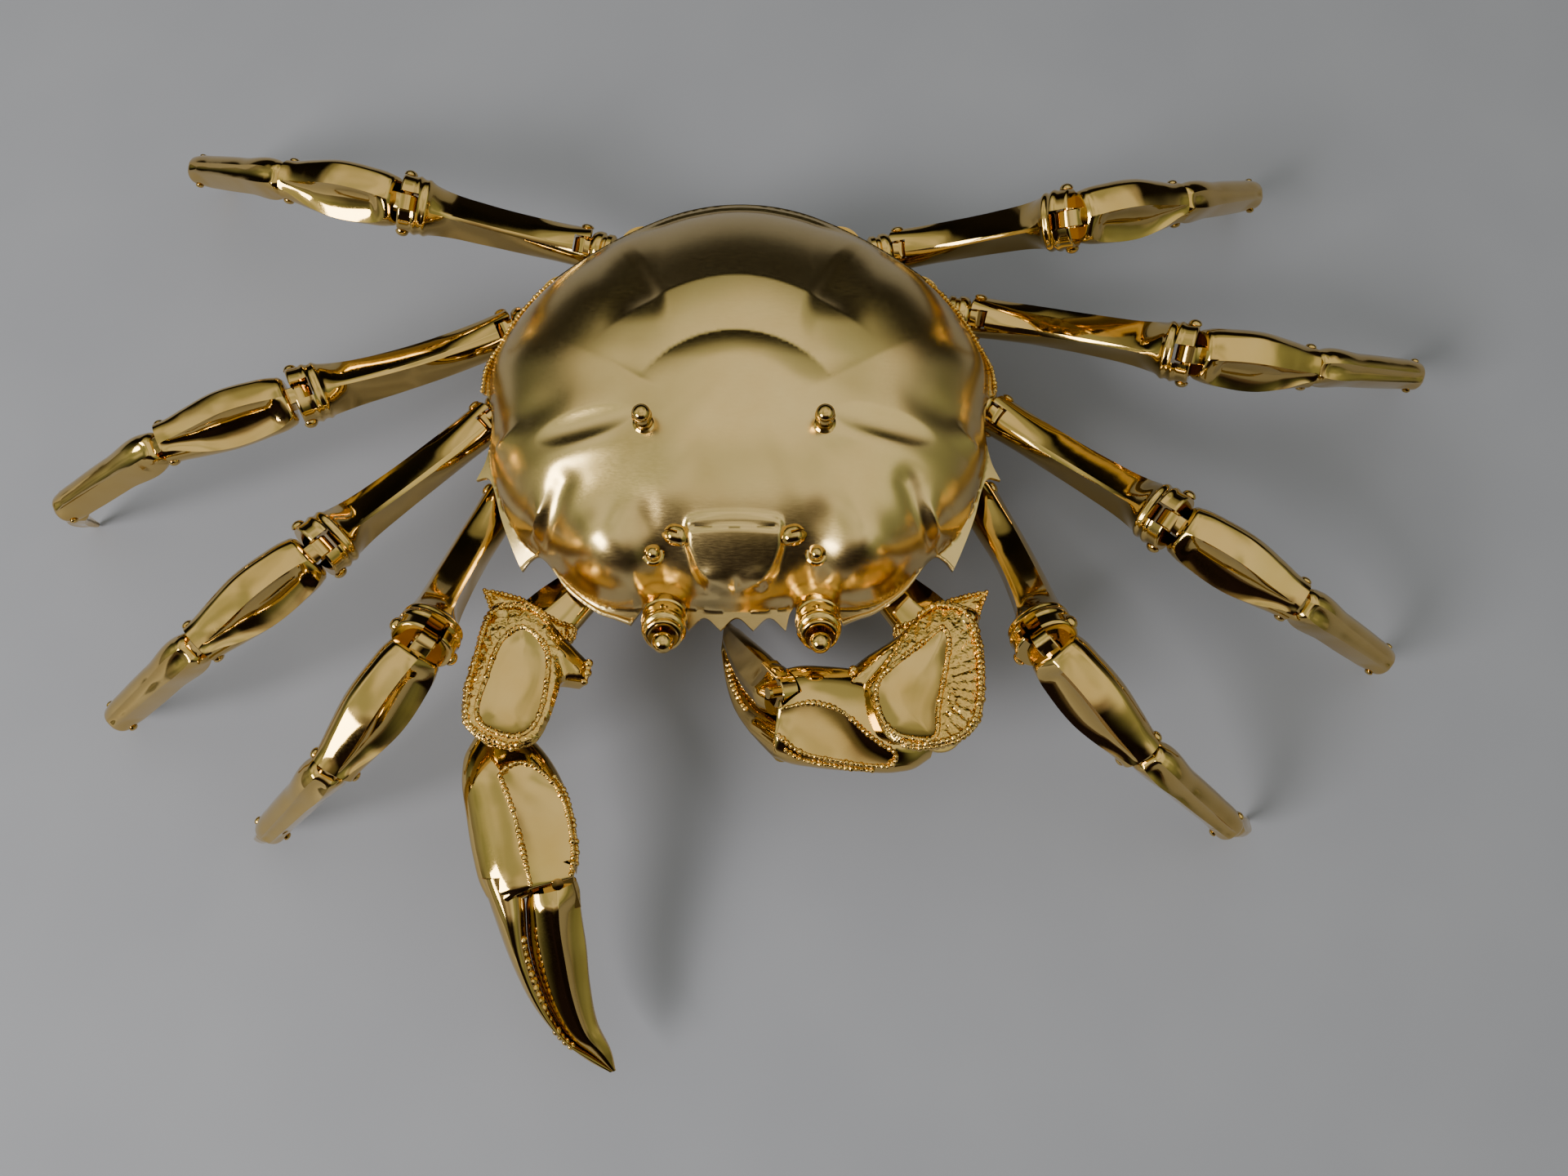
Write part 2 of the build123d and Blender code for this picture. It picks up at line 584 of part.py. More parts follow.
def make_carpus(plane, side):
    """Almond-shaped leg piece: tongue at the knee, fork and pin at the ankle."""
    front = -SIDES[side]
    with BuildPart(plane) as carpus:
        cross_cylinder(ANKLE_CHEEK_RADIUS, ANKLE_FORK_WIDTH, CARPUS_LENGTH)
        chamfer(carpus.edges().filter_by(GeomType.CIRCLE), CHEEK_CHAMFER)
        for share, sag_share, width, height in CARPUS_STATIONS:
            above = -sag_share * MERUS_SAG
            with BuildSketch(across(plane, share * CARPUS_LENGTH, 0, above)):
                add(facet_outline(width, height, front))
        loft()
        cross_cylinder(KNEE_CHEEK_RADIUS + KNUCKLE_CLEARANCE, 2 * OVERRUN, 0, mode=Mode.SUBTRACT)
        add_tongue(KNEE_CHEEK_RADIUS + 2 * KNUCKLE_CLEARANCE, KNEE_TONGUE_WIDTH, KNEE_EYE_RADIUS)
        cross_cylinder(KNEE_PIN_RADIUS + PIN_CLEARANCE, OVERRUN, 0, mode=Mode.SUBTRACT)
        cut_slot(CARPUS_LENGTH, ANKLE_TONGUE_WIDTH, ANKLE_EYE_RADIUS, 1)
        pin_through(ANKLE_PIN_RADIUS, ANKLE_FORK_WIDTH, CARPUS_LENGTH)
    return carpus.part


def make_propodus(plane):
    """Slender rod: tongue at the ankle, fork and pin at the tip joint."""
    with BuildPart(plane) as propodus:
        cross_cylinder(TIP_CHEEK_RADIUS, TIP_FORK_WIDTH, PROPODUS_LENGTH)
        chamfer(propodus.edges().filter_by(GeomType.CIRCLE), CHEEK_CHAMFER)
        for share, sag_share, width, height in PROPODUS_STATIONS:
            above = -sag_share * MERUS_SAG
            with BuildSketch(across(plane, share * PROPODUS_LENGTH, 0, above)):
                Ellipse(width / 2, height / 2)
        loft()
        cross_cylinder(ANKLE_CHEEK_RADIUS + KNUCKLE_CLEARANCE, 2 * OVERRUN, 0, mode=Mode.SUBTRACT)
        add_tongue(ANKLE_CHEEK_RADIUS + 2 * KNUCKLE_CLEARANCE, ANKLE_TONGUE_WIDTH,
                   ANKLE_EYE_RADIUS)
        cross_cylinder(ANKLE_PIN_RADIUS + PIN_CLEARANCE, OVERRUN, 0, mode=Mode.SUBTRACT)
        cut_slot(PROPODUS_LENGTH, TIP_TONGUE_WIDTH, TIP_EYE_RADIUS, 1)
        pin_through(TIP_PIN_RADIUS, TIP_FORK_WIDTH, PROPODUS_LENGTH)
    return propodus.part


def make_dactyl(plane):
    """Curved, pointed tip of a leg."""
    with BuildPart(plane) as dactyl:
        for share, sag_share, width, height in DACTYL_STATIONS:
            above = -sag_share * MERUS_SAG
            with BuildSketch(across(plane, share * DACTYL_LENGTH, 0, above)):
                Ellipse(width / 2, height / 2)
        with BuildSketch(across(plane, DACTYL_LENGTH)):
            Circle(DACTYL_TIP_RADIUS)
        loft()
        cross_cylinder(TIP_CHEEK_RADIUS + KNUCKLE_CLEARANCE, 2 * OVERRUN, 0, mode=Mode.SUBTRACT)
        add_tongue(TIP_CHEEK_RADIUS + 2 * KNUCKLE_CLEARANCE, TIP_TONGUE_WIDTH, TIP_EYE_RADIUS)
        cross_cylinder(TIP_PIN_RADIUS + PIN_CLEARANCE, OVERRUN, 0, mode=Mode.SUBTRACT)
    return dactyl.part


# Claws
def lap_boss():
    """Round boss with an upright pin that a lapping piece turns on."""
    with Locations((0, 0, CLAW_BOSS_TOP)):
        Cylinder(CLAW_BOSS_RADIUS, CLAW_BOSS_HEIGHT,
                 align=(Align.CENTER, Align.CENTER, Align.MAX))
    with Locations((0, 0, CLAW_BOSS_TOP)):
        Cylinder(CLAW_BOSS_RADIUS + OVERRUN, OVERRUN, mode=Mode.SUBTRACT,
                 align=(Align.CENTER, Align.CENTER, Align.MIN))
    with Locations((0, 0, CLAW_BOSS_TOP - CLAW_PIN_DEPTH)):
        Cylinder(CLAW_PIN_RADIUS, 2 * CLAW_PIN_DEPTH,
                 align=(Align.CENTER, Align.CENTER, Align.MIN))


def make_claw_merus(plane, side):
    """Upper arm of a claw: forked at the shoulder, with a pointed flange beside its elbow."""
    outward = SIDES[side]
    flange = [(along * CLAW_MERUS_LENGTH, outward * aside * CLAW_MERUS_LENGTH)
              for along, aside in CLAW_FLANGE_SHARES]
    with BuildPart(plane) as merus:
        cross_cylinder(HIP_CHEEK_RADIUS, HIP_FORK_WIDTH, 0)
        chamfer(merus.edges().filter_by(GeomType.CIRCLE), CHEEK_CHAMFER)
        for share, _, width, height in CLAW_MERUS_STATIONS:
            above = share * (CLAW_BOSS_TOP - height / 2)
            with BuildSketch(across(plane, share * CLAW_MERUS_LENGTH, 0, above)):
                Ellipse(width / 2, height / 2)
        loft()
        with BuildSketch(plane.offset(CLAW_BOSS_TOP)):
            Polygon(*flange, align=None)
        extrude(amount=-CLAW_FLANGE_THICKNESS)
        with Locations((CLAW_MERUS_LENGTH, 0, 0)):
            lap_boss()
        cut_slot(0, HIP_TONGUE_WIDTH, HIP_EYE_RADIUS, -1)
        pin_through(KNEE_PIN_RADIUS, HIP_FORK_WIDTH, 0)
    return merus.part


def claw_carpus_outline(side, size_share):
    """Plan of the claw's middle piece, scaled about its middle by a share."""
    inward = -SIDES[side]
    middle_along, middle_aside = CLAW_CARPUS_MIDDLE_SHARES
    points = []
    for along, aside in CLAW_CARPUS_SHARES:
        x = middle_along + size_share * (along - middle_along)
        y = middle_aside + size_share * (aside - middle_aside)
        points.append((x * CLAW_CARPUS_LENGTH, inward * y * CLAW_CARPUS_LENGTH))
    Polygon(*points, align=None)


def make_claw_carpus(plane, side):
    """Dished middle piece of a claw, with its spur and blind holes for both pins."""
    floor = CLAW_BOSS_TOP + SIDE_CLEARANCE
    top = floor + CLAW_CARPUS_HEIGHT
    with BuildPart(plane) as carpus:
        with BuildSketch(plane.offset(floor)):
            claw_carpus_outline(side, CLAW_WAIST_SHARE)
        with BuildSketch(plane.offset(top)):
            claw_carpus_outline(side, 1)
        loft(ruled=True)
        with BuildSketch(plane.offset(top)):
            claw_carpus_outline(side, DISH_SHARE)
        extrude(amount=-DISH_DEPTH, mode=Mode.SUBTRACT)
        with Locations((0, 0, floor), (CLAW_CARPUS_LENGTH, 0, floor)):
            Cylinder(CLAW_PIN_RADIUS + PIN_CLEARANCE, 2 * (CLAW_PIN_DEPTH + PIN_CLEARANCE),
                     mode=Mode.SUBTRACT)
    return carpus.part


def finger_loft(fingers, inward, part_side):
    """One tapering finger beside the dividing line, on the inner or the outer side of it."""
    for share, divide, above, width, height in FINGER_STATIONS:
        aside = inward * (divide + part_side * (FINGER_GAP + width / 2))
        with BuildSketch(across(fingers, share * FINGER_LENGTH, aside, above)) as section:
            Ellipse(width / 2, height / 2)
        add(section.sketch)
    share, divide, above = FINGER_TIP_SHARES
    aside = inward * (divide * FINGER_LENGTH + part_side * (FINGER_GAP + FINGER_TIP_RADIUS))
    tip = across(fingers, share * FINGER_LENGTH, aside, above * FINGER_LENGTH)
    with BuildSketch(tip) as section:
        Circle(FINGER_TIP_RADIUS)
    add(section.sketch)
    loft()


def make_palm(planes, side):
    """Swollen palm with the fixed finger, the wrist's boss and pin, and the finger's fork."""
    inward = -SIDES[side]
    blade = planes["blade"]
    fingers = planes["fingers"]
    cheek = planes["finger"]
    slot_height = FINGER_TONGUE_HEIGHT + 2 * SIDE_CLEARANCE
    slot_reach = FINGER_EYE_RADIUS + KNUCKLE_CLEARANCE
    with BuildPart(cheek) as fork:
        Cylinder(FINGER_CHEEK_RADIUS, FINGER_FORK_HEIGHT)
        chamfer(fork.edges().filter_by(GeomType.CIRCLE), CHEEK_CHAMFER)
    with BuildPart() as fixed:
        finger_loft(fingers, inward, -1)
    with BuildPart(cheek) as room:
        with Locations((0, -inward * (FINGER_HINGE_INSET - FINGER_GAP), 0)):
            Box(2 * OVERRUN, 2 * OVERRUN, 2 * FINGER_FORK_HEIGHT,
                align=(Align.MIN, Align.MIN if inward > 0 else Align.MAX, Align.CENTER))
    with BuildPart(cheek) as slot:
        with Locations((-slot_reach, -inward * slot_reach, 0)):
            Box(2 * OVERRUN, 2 * OVERRUN, slot_height,
                align=(Align.MIN, Align.MIN if inward > 0 else Align.MAX, Align.CENTER))
        Cylinder(FINGER_PIN_RADIUS + PIN_CLEARANCE, 2 * FINGER_FORK_HEIGHT)
    with BuildPart(cheek) as pin:
        Cylinder(FINGER_PIN_RADIUS, FINGER_FORK_HEIGHT)
    with BuildPart(planes["palm"]) as palm:
        for share, aside, above, width, height in PALM_STATIONS:
            with BuildSketch(across(blade, share * PALM_LENGTH, inward * aside, above)):
                Ellipse(width / 2, height / 2)
        loft()
        lap_boss()
    with BuildPart() as whole:
        add(palm.part)
        add(room.part, mode=Mode.SUBTRACT)
        add(fixed.part)
        add(fork.part)
        add(slot.part, mode=Mode.SUBTRACT)
        add(pin.part)
    return whole.part


def make_finger(planes, side):
    """Movable finger of a claw, with the tongue that sits in the palm's fork."""
    inward = -SIDES[side]
    neck = FINGER_CHEEK_RADIUS + 2 * KNUCKLE_CLEARANCE
    with BuildPart() as body:
        finger_loft(planes["fingers"], inward, 1)
    with BuildPart(planes["finger"]) as finger:
        with Locations(planes["finger"].location.inverse()):
            add(body.part)
        Cylinder(FINGER_CHEEK_RADIUS + KNUCKLE_CLEARANCE, 2 * FINGER_FORK_HEIGHT,
                 mode=Mode.SUBTRACT)
        Cylinder(FINGER_EYE_RADIUS, FINGER_TONGUE_HEIGHT)
        with Locations((neck / 2, 0, 0)):
            Box(neck, 2 * NECK_SHARE * FINGER_EYE_RADIUS, FINGER_TONGUE_HEIGHT)
        Cylinder(FINGER_PIN_RADIUS + PIN_CLEARANCE, FINGER_FORK_HEIGHT, mode=Mode.SUBTRACT)
    return finger.part


def save(part, name):
    """Label a finished piece and write it."""
    part.label = name
    export_step(part, f"parts/{name}.step")


os.makedirs("parts", exist_ok=True)
save(make_carapace(), "carapace")
save(make_plastron(), "plastron")
save(make_hip_pins(), "hip_pins")
save(make_abdomen(), "abdomen_flap")
save(make_eye_stalks(), "eye_stalks")
save(make_eyeballs(), "eyeballs")
save(make_studs(), "carapace_studs")
for side in SIDES:
    for pair, pair_name in enumerate(LEG_NAMES):
        leg = leg_planes(side, pair)
        prefix = f"{side}_{pair_name}_leg"
        save(make_coxa(leg), f"{prefix}_coxa")
        save(make_merus(leg["merus"], MERUS_LENGTHS[pair]), f"{prefix}_merus")
        save(make_carpus(leg["carpus"], side), f"{prefix}_carpus")
        save(make_propodus(leg["propodus"]), f"{prefix}_propodus")
        save(make_dactyl(leg["dactyl"]), f"{prefix}_dactyl")
    claw = claw_planes(side)
    save(make_coxa(claw), f"{side}_claw_coxa")
    save(make_claw_merus(claw["merus"], side), f"{side}_claw_merus")
    save(make_claw_carpus(claw["carpus"], side), f"{side}_claw_carpus")
    save(make_palm(claw, side), f"{side}_claw_palm")
    save(make_finger(claw, side), f"{side}_claw_finger")
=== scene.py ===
"""Visual model of a jointed crab in gold-plated brass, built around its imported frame.

Every piece is worked out in millimetres in a local frame of its own, and then placed in the crab's frame in metres.
"""

from __future__ import annotations

import logging
import math
from dataclasses import dataclass, field
from enum import Enum
from typing import Any, Callable, ClassVar, Sequence

import bmesh
import bpy
import numpy as np
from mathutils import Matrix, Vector
from mathutils.geometry import delaunay_2d_cdt
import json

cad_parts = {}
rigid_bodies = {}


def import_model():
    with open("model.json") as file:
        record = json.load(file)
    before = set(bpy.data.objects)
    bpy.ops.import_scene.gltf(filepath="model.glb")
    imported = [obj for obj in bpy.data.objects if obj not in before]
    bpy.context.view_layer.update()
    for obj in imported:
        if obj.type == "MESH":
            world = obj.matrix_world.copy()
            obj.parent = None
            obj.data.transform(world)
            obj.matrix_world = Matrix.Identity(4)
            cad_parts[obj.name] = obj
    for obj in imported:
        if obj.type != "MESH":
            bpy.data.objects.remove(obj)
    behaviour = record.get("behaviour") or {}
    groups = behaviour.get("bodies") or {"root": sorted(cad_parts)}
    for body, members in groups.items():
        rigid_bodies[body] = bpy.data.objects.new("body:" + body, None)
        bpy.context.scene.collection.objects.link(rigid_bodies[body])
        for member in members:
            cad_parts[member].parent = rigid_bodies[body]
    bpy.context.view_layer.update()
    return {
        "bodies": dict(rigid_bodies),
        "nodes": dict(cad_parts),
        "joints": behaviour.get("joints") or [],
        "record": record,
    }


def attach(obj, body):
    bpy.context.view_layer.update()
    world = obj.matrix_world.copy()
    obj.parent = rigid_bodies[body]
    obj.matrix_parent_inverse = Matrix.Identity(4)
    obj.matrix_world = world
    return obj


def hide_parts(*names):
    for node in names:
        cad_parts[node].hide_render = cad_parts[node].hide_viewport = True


log = logging.getLogger("crab")

MM = 0.001
SHELL_CENTRE = np.array([-4.1, -7.3])  # the shell's own origin in the crab's frame, in millimetres
TIP_SLOPE = 78.0  # how steeply the frames of the leg tips fall, in degrees
HAND_LENGTH = 44.5  # from the wrist to the frame of the fingers
FINGER_HINGE = 6.4  # the moving finger's hinge, beside the hand's middle line
FINGER_END = np.array([2.2, 1.4, 0.8, 0.4, 0.15])  # the last sections of a finger, before its tip
SOFT_EDGE = 0.3  # how much the edges of the tongues are rounded
CRISP = 32.0  # edges that turn more than this many degrees stay sharp
BEAD_SEED = 1

Faces = list[tuple[int, ...]]
Skin = tuple[np.ndarray, Faces]
Stations = Sequence[Sequence[float]]


class Side(Enum):
    """The two sides of the crab, named as the photograph shows them."""

    LEFT = "left"
    RIGHT = "right"

    @property
    def sign(self) -> int:
        """+1 on the right, -1 on the left."""
        return 1 if self is Side.RIGHT else -1


class Pair(Enum):
    """The four pairs of walking legs."""

    REAR = "rear"
    THIRD = "third"
    SECOND = "second"
    FRONT = "front"


# ---------------------------------------------------------------- frames


@dataclass(frozen=True)
class Place:
    """A local frame: its origin in metres and its three axes as rows."""

    origin: np.ndarray
    axes: np.ndarray

    def out(self, points: np.ndarray) -> np.ndarray:
        """Local millimetres to metres in the crab's frame."""
        return self.origin + MM * np.asarray(points, float) @ self.axes

    def at(self, x: float, y: float, z: float) -> Place:
        """The same frame with its origin moved by local millimetres."""
        return Place(self.out(np.array([x, y, z])), self.axes)

    def turned(self, axis: str, degrees: float) -> Place:
        """The frame turned about one of its own axes.

        Args:
            axis: "x", "y" or "z".
            degrees: the angle, positive by the right hand.

        Returns:
            The turned frame.
        """
        c, s = math.cos(math.radians(degrees)), math.sin(math.radians(degrees))
        turn = {
            "x": np.array([[1, 0, 0], [0, c, s], [0, -s, c]]),
            "y": np.array([[c, 0, -s], [0, 1, 0], [s, 0, c]]),
            "z": np.array([[c, s, 0], [-s, c, 0], [0, 0, 1]]),
        }[axis]
        return Place(self.origin, turn @ self.axes)


def unit(vector: np.ndarray) -> np.ndarray:
    """The vector with a length of one."""
    return vector / np.linalg.norm(vector)


class Hinges:
    """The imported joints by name: where each one is and the line it turns about."""

    def __init__(self, joints: Sequence[dict[str, Any]]) -> None:
        """Reads the joints of the frame."""
        self.at = {j["name"]: np.array(j["pos_m"], float) for j in joints}
        self.axis = {j["name"]: np.array(j["axis"], float) for j in joints}

    def leg(self, side: Side, pair: Pair) -> dict[str, Place]:
        """The frames of one walking leg.

        Args:
            side: the leg's side.
            pair: which pair it belongs to.

        Returns:
            A frame for each of coxa, merus, carpus, propodus and dactyl, x along the piece and z upwards.
        """
        name = f"{side.value}_{pair.value}_leg_"
        points = [self.at[name + kind] for kind in ("swing", "lift", "knee", "ankle", "tip")]
        across = -self.axis[name + "lift"]
        places = {}
        for label, start, end in zip(("coxa", "merus", "carpus", "propodus"), points, points[1:]):
            x = unit(end - start)
            y = unit(across - x * float(across @ x))
            places[label] = Place(start, np.array([x, y, np.cross(x, y)]))
        level = places["coxa"].axes[0]
        down = np.cross(level, across)
        slope = math.radians(TIP_SLOPE)
        x = unit(math.cos(slope) * level - math.sin(slope) * down)
        places["dactyl"] = Place(points[4], np.array([x, across, np.cross(x, across)]))
        return places

    def claw(self, side: Side, bends: ClawBends) -> dict[str, Place]:
        """The frames of one claw.

        Args:
            side: the claw's side.
            bends: how the wrist and the hand are turned.

        Returns:
            A frame for each of coxa, merus, carpus, blade (the hand), fingers and finger.
        """
        name = f"{side.value}_claw_"
        swing, lift, elbow, wrist = (self.at[name + kind] for kind in ("swing", "lift", "elbow", "wrist"))
        across = -self.axis[name + "lift"]
        inward = -side.sign
        level = unit(lift - swing)
        coxa = Place(swing, np.array([level, unit(across), np.cross(level, unit(across))]))
        x = unit(elbow - lift)
        merus = Place(lift, np.array([x, across, np.cross(x, across)]))
        up = side.sign * self.axis[name + "elbow"]
        x = unit(wrist - elbow)
        carpus = Place(elbow, np.array([x, np.cross(up, x), up]))
        palm = Place(wrist, carpus.axes).turned("z", inward * bends.wrist)
        blade = palm.at(0, 0, -1).turned("y", bends.droop).turned("x", inward * bends.roll)
        fingers = blade.at(HAND_LENGTH, 0, 1).turned("x", inward * bends.finger_roll).turned("y", bends.curl)
        return {
            "coxa": coxa, "merus": merus, "carpus": carpus, "blade": blade,
            "fingers": fingers, "finger": fingers.at(0, inward * FINGER_HINGE, 0),
        }


@dataclass(frozen=True)
class ClawBends:
    """How a claw is turned beyond its elbow, in degrees."""

    wrist: float
    droop: float
    roll: float
    finger_roll: float
    curl: float


# ---------------------------------------------------------------- shapes


def weights(t: np.ndarray) -> tuple[np.ndarray, ...]:
    """What the start, the slope there, the end and the slope there count at shares t of a smooth run."""
    return 2 * t**3 - 3 * t**2 + 1, t**3 - 2 * t**2 + t, 3 * t**2 - 2 * t**3, t**3 - t**2


def smooth(stations: Stations, x: np.ndarray) -> np.ndarray:
    """Runs a smooth curve through stations.

    Args:
        stations: rows of a position followed by one or more values.
        x: the positions asked for.

    Returns:
        One row of values for each position.
    """
    table = np.array(stations, float)
    xs, values = table[:, 0], table[:, 1:]
    slopes = np.gradient(values, xs, axis=0)
    x = np.clip(np.asarray(x, float), xs[0], xs[-1])
    i = np.clip(np.searchsorted(xs, x, side="right") - 1, 0, len(xs) - 2)
    h = (xs[i + 1] - xs[i])[:, None]
    a, b, c, d = weights((x[:, None] - xs[i][:, None]) / h)
    return a * values[i] + b * h * slopes[i] + c * values[i + 1] + d * h * slopes[i + 1]


def bump(x: np.ndarray, centre: float, width: float) -> np.ndarray:
    """A soft hump of height one."""
    return np.exp(-(((x - centre) / width) ** 2))


def ramp(x: np.ndarray, low: float, high: float) -> np.ndarray:
    """Eases from zero at low to one at high."""
    t = np.clip((x - low) / (high - low), 0, 1)
    return t * t * (3 - 2 * t)


def rounded(phi: np.ndarray, half: float, top: float, bottom: float, power: float) -> np.ndarray:
    """Points of a rounded section.

    Args:
        phi: angles in degrees; 0 is the front, 90 the top.
        half: half the width.
        top: height above the middle line.
        bottom: depth below it.
        power: 2 for an ellipse, more for a boxier section.

    Returns:
        Rows of (y, z).
    """
    c, s = np.cos(np.radians(phi)), np.sin(np.radians(phi))
    norm = (np.abs(c) ** power + np.abs(s) ** power) ** (-1.0 / power)
    return np.stack([-c * norm * half, s * norm * np.where(s > 0, top, bottom)], -1)


@dataclass(frozen=True)
class Facet:
    """A flat or hollow face along a limb, between two angles of its section.

    The tracks are stations of (position, value) along the piece.
    """

    start: Stations
    end: Stations
    strength: Stations
    sink: float = 0.0


def limb_skin(
    x: np.ndarray, stations: Stations, facets: Sequence[Facet] = (), power: float = 2.2,
    ridges: Callable[[np.ndarray], np.ndarray] | None = None, across: int = 16,
) -> Skin:
    """A closed limb piece: rounded sections along x, cut by facets with crisp edges.

    Args:
        x: where the sections stand.
        stations: rows of (x, y shift, z shift, width, height above, height below).
        facets: the faces, in order of their angles and not overlapping.
        power: boxiness of the sections.
        ridges: extra radius along x, such as the rings of a cup.
        across: points along each facet.

    Returns:
        Points and faces.
    """
    body = smooth(stations, x)
    extra = ridges(x) if ridges else np.zeros_like(x)
    tracks = [
        (
            smooth(f.start, x)[:, 0], smooth(f.end, x)[:, 0],
            np.clip(smooth(f.strength, x)[:, 0], 0, 1), f.sink,
        )
        for f in facets
    ]
    rings = []
    for k, (dy, dz, width, above, below) in enumerate(body):
        half, top, bottom = width / 2 + extra[k], above + extra[k], below + extra[k]
        start = tracks[0][0][k] if tracks else 0.0
        parts, here = [], start
        for low, high, strength, sink in tracks:
            if low[k] > here + 1e-6:
                gap = np.linspace(here, low[k], 7)[:-1]
                parts.append(rounded(gap, half, top, bottom, power))
            t = np.linspace(0, 1, across + 1)[:-1]
            curve = rounded(low[k] + t * (high[k] - low[k]), half, top, bottom, power)
            ends = rounded(np.array([low[k], high[k]]), half, top, bottom, power)
            chord = ends[0] + t[:, None] * (ends[1] - ends[0])
            inward = -unit(chord.mean(0)) if strength[k] > 0 else np.zeros(2)
            chord = chord + inward * sink * (4 * t * (1 - t))[:, None]
            parts.append(curve + strength[k] * (chord - curve))
            here = high[k]
        rest = np.linspace(here, start + 360, 49 if tracks else 65)[:-1]
        parts.append(rounded(rest, half, top, bottom, power))
        yz = np.concatenate(parts)
        rings.append(np.column_stack([np.full(len(yz), x[k]), yz[:, 0] + dy, yz[:, 1] + dz]))
    return tube(np.array(rings))


def tube(rings: np.ndarray) -> Skin:
    """Joins rings of points into a closed skin.

    Args:
        rings: an array of (ring, point, 3).

    Returns:
        Points and faces, with a fan over each end.
    """
    n, m, _ = rings.shape
    points = np.concatenate([rings.reshape(-1, 3), rings[0].mean(0)[None], rings[-1].mean(0)[None]])
    faces: Faces = []
    for i in range(n - 1):
        a, b = i * m, (i + 1) * m
        faces += [(a + j, a + (j + 1) % m, b + (j + 1) % m, b + j) for j in range(m)]
    faces += [(n * m, (j + 1) % m, j) for j in range(m)]
    last = (n - 1) * m
    faces += [(n * m + 1, last + j, last + (j + 1) % m) for j in range(m)]
    return points, faces


def lathe(profile: Stations, count: int = 40) -> Skin:
    """Turns a profile about the x axis.

    Args:
        profile: rows of (x, radius), open at both ends.
        count: faces round the axis.

    Returns:
        Points and faces of the closed form.
    """
    angles = np.linspace(0, 2 * math.pi, count, endpoint=False)
    rings = [
        np.column_stack([np.full(count, x), r * np.cos(angles), r * np.sin(angles)]) for x, r in profile
    ]
    return tube(np.array(rings))


def tongue(reach: float, radius: float, half: float) -> Skin:
    """A hinge tongue with softened edges: a round eye about the hinge and a shank towards +x.

    Args:
        reach: how far the shank runs into its piece.
        radius: the eye's radius.
        half: half its thickness.

    Returns:
        Points and faces.
    """
    angles = np.radians(np.linspace(75, 285, 22))
    arc = np.column_stack([radius * np.cos(angles), radius * np.sin(angles)])
    outline = np.concatenate([arc, [[reach, -radius], [reach, radius]]])
    centre = outline.mean(0)
    share = 1 - SOFT_EDGE / np.linalg.norm(outline - centre, axis=1)
    shrunk = centre + (outline - centre) * share[:, None]
    layers = [(shrunk, -half), (outline, SOFT_EDGE - half), (outline, half - SOFT_EDGE), (shrunk, half)]
    return tube(np.array([np.column_stack([p[:, 0], np.full(len(p), y), p[:, 1]]) for p, y in layers]))


def moved(skin: Skin, *shift: float) -> Skin:
    """The skin moved by (x, y, z)."""
    return skin[0] + np.array(shift), skin[1]


def flipped(points: np.ndarray, faces: Faces) -> Skin:
    """A skin from mirrored points, its faces turned so that they still point outwards."""
    return points, [tuple(reversed(f)) for f in faces]


def mirrored(skin: Skin) -> Skin:
    """The skin with y turned round."""
    return flipped(skin[0] * np.array([1, -1, 1]), skin[1])


def swapped(skin: Skin, *order: int) -> Skin:
    """The skin with two of its axes exchanged."""
    return flipped(skin[0][:, list(order)], skin[1])


def upright(skin: Skin) -> Skin:
    """A form turned about x, stood on its end."""
    return skin[0][:, [2, 1, 0]] * np.array([1, -1, 1]), skin[1]


def joined(skins: Sequence[Skin]) -> Skin:
    """Several skins as one."""
    points, faces, offset = [], [], 0
    for p, f in skins:
        points.append(p)
        faces += [tuple(i + offset for i in face) for face in f]
        offset += len(p)
    return np.concatenate(points), faces


def added(name: str, data: Any) -> bpy.types.Object:
    """Makes an object of this data and links it into the scene.

    Args:
        name: the object's name.
        data: its mesh, camera or light.

    Returns:
        The object.
    """
    thing = bpy.data.objects.new(name, data)
    bpy.context.scene.collection.objects.link(thing)
    return thing


def new_object(
    name: str, skin: Skin, material: bpy.types.Material, crisp: float = CRISP,
    second: bpy.types.Material | None = None, marked: Sequence[bool] = (),
) -> bpy.types.Object:
    """Makes a mesh object with smooth faces and crisp edges.

    Args:
        name: the piece's name.
        skin: points in metres and faces.
        material: its finish.
        crisp: edges that turn more than this many degrees stay sharp.
        second: finish of the marked faces.
        marked: which of the first faces are marked.

    Returns:
        The object, in the scene.
    """
    mesh = bpy.data.meshes.new(name)
    mesh.from_pydata(skin[0].tolist(), [], skin[1])
    mesh.materials.append(material)
    if second and any(marked):
        mesh.materials.append(second)
        for face, mark in zip(mesh.polygons, marked):
            face.material_index = int(mark)
    thing = added(name, mesh)
    finish_mesh(mesh, crisp)
    return thing


def finish_mesh(mesh: bpy.types.Mesh, crisp: float) -> None:
    """Turns the faces outwards and marks the crisp edges.

    Args:
        mesh: the mesh to finish.
        crisp: the angle in degrees from which an edge is sharp.
    """
    work = bmesh.new()
    work.from_mesh(mesh)
    bmesh.ops.dissolve_degenerate(work, dist=1e-7, edges=work.edges)
    bmesh.ops.recalc_face_normals(work, faces=work.faces)
    limit = math.radians(crisp)
    for face in work.faces:
        face.smooth = True
    for edge in work.edges:
        edge.smooth = len(edge.link_faces) == 2 and edge.calc_face_angle(0.0) < limit
    work.to_mesh(mesh)
    work.free()


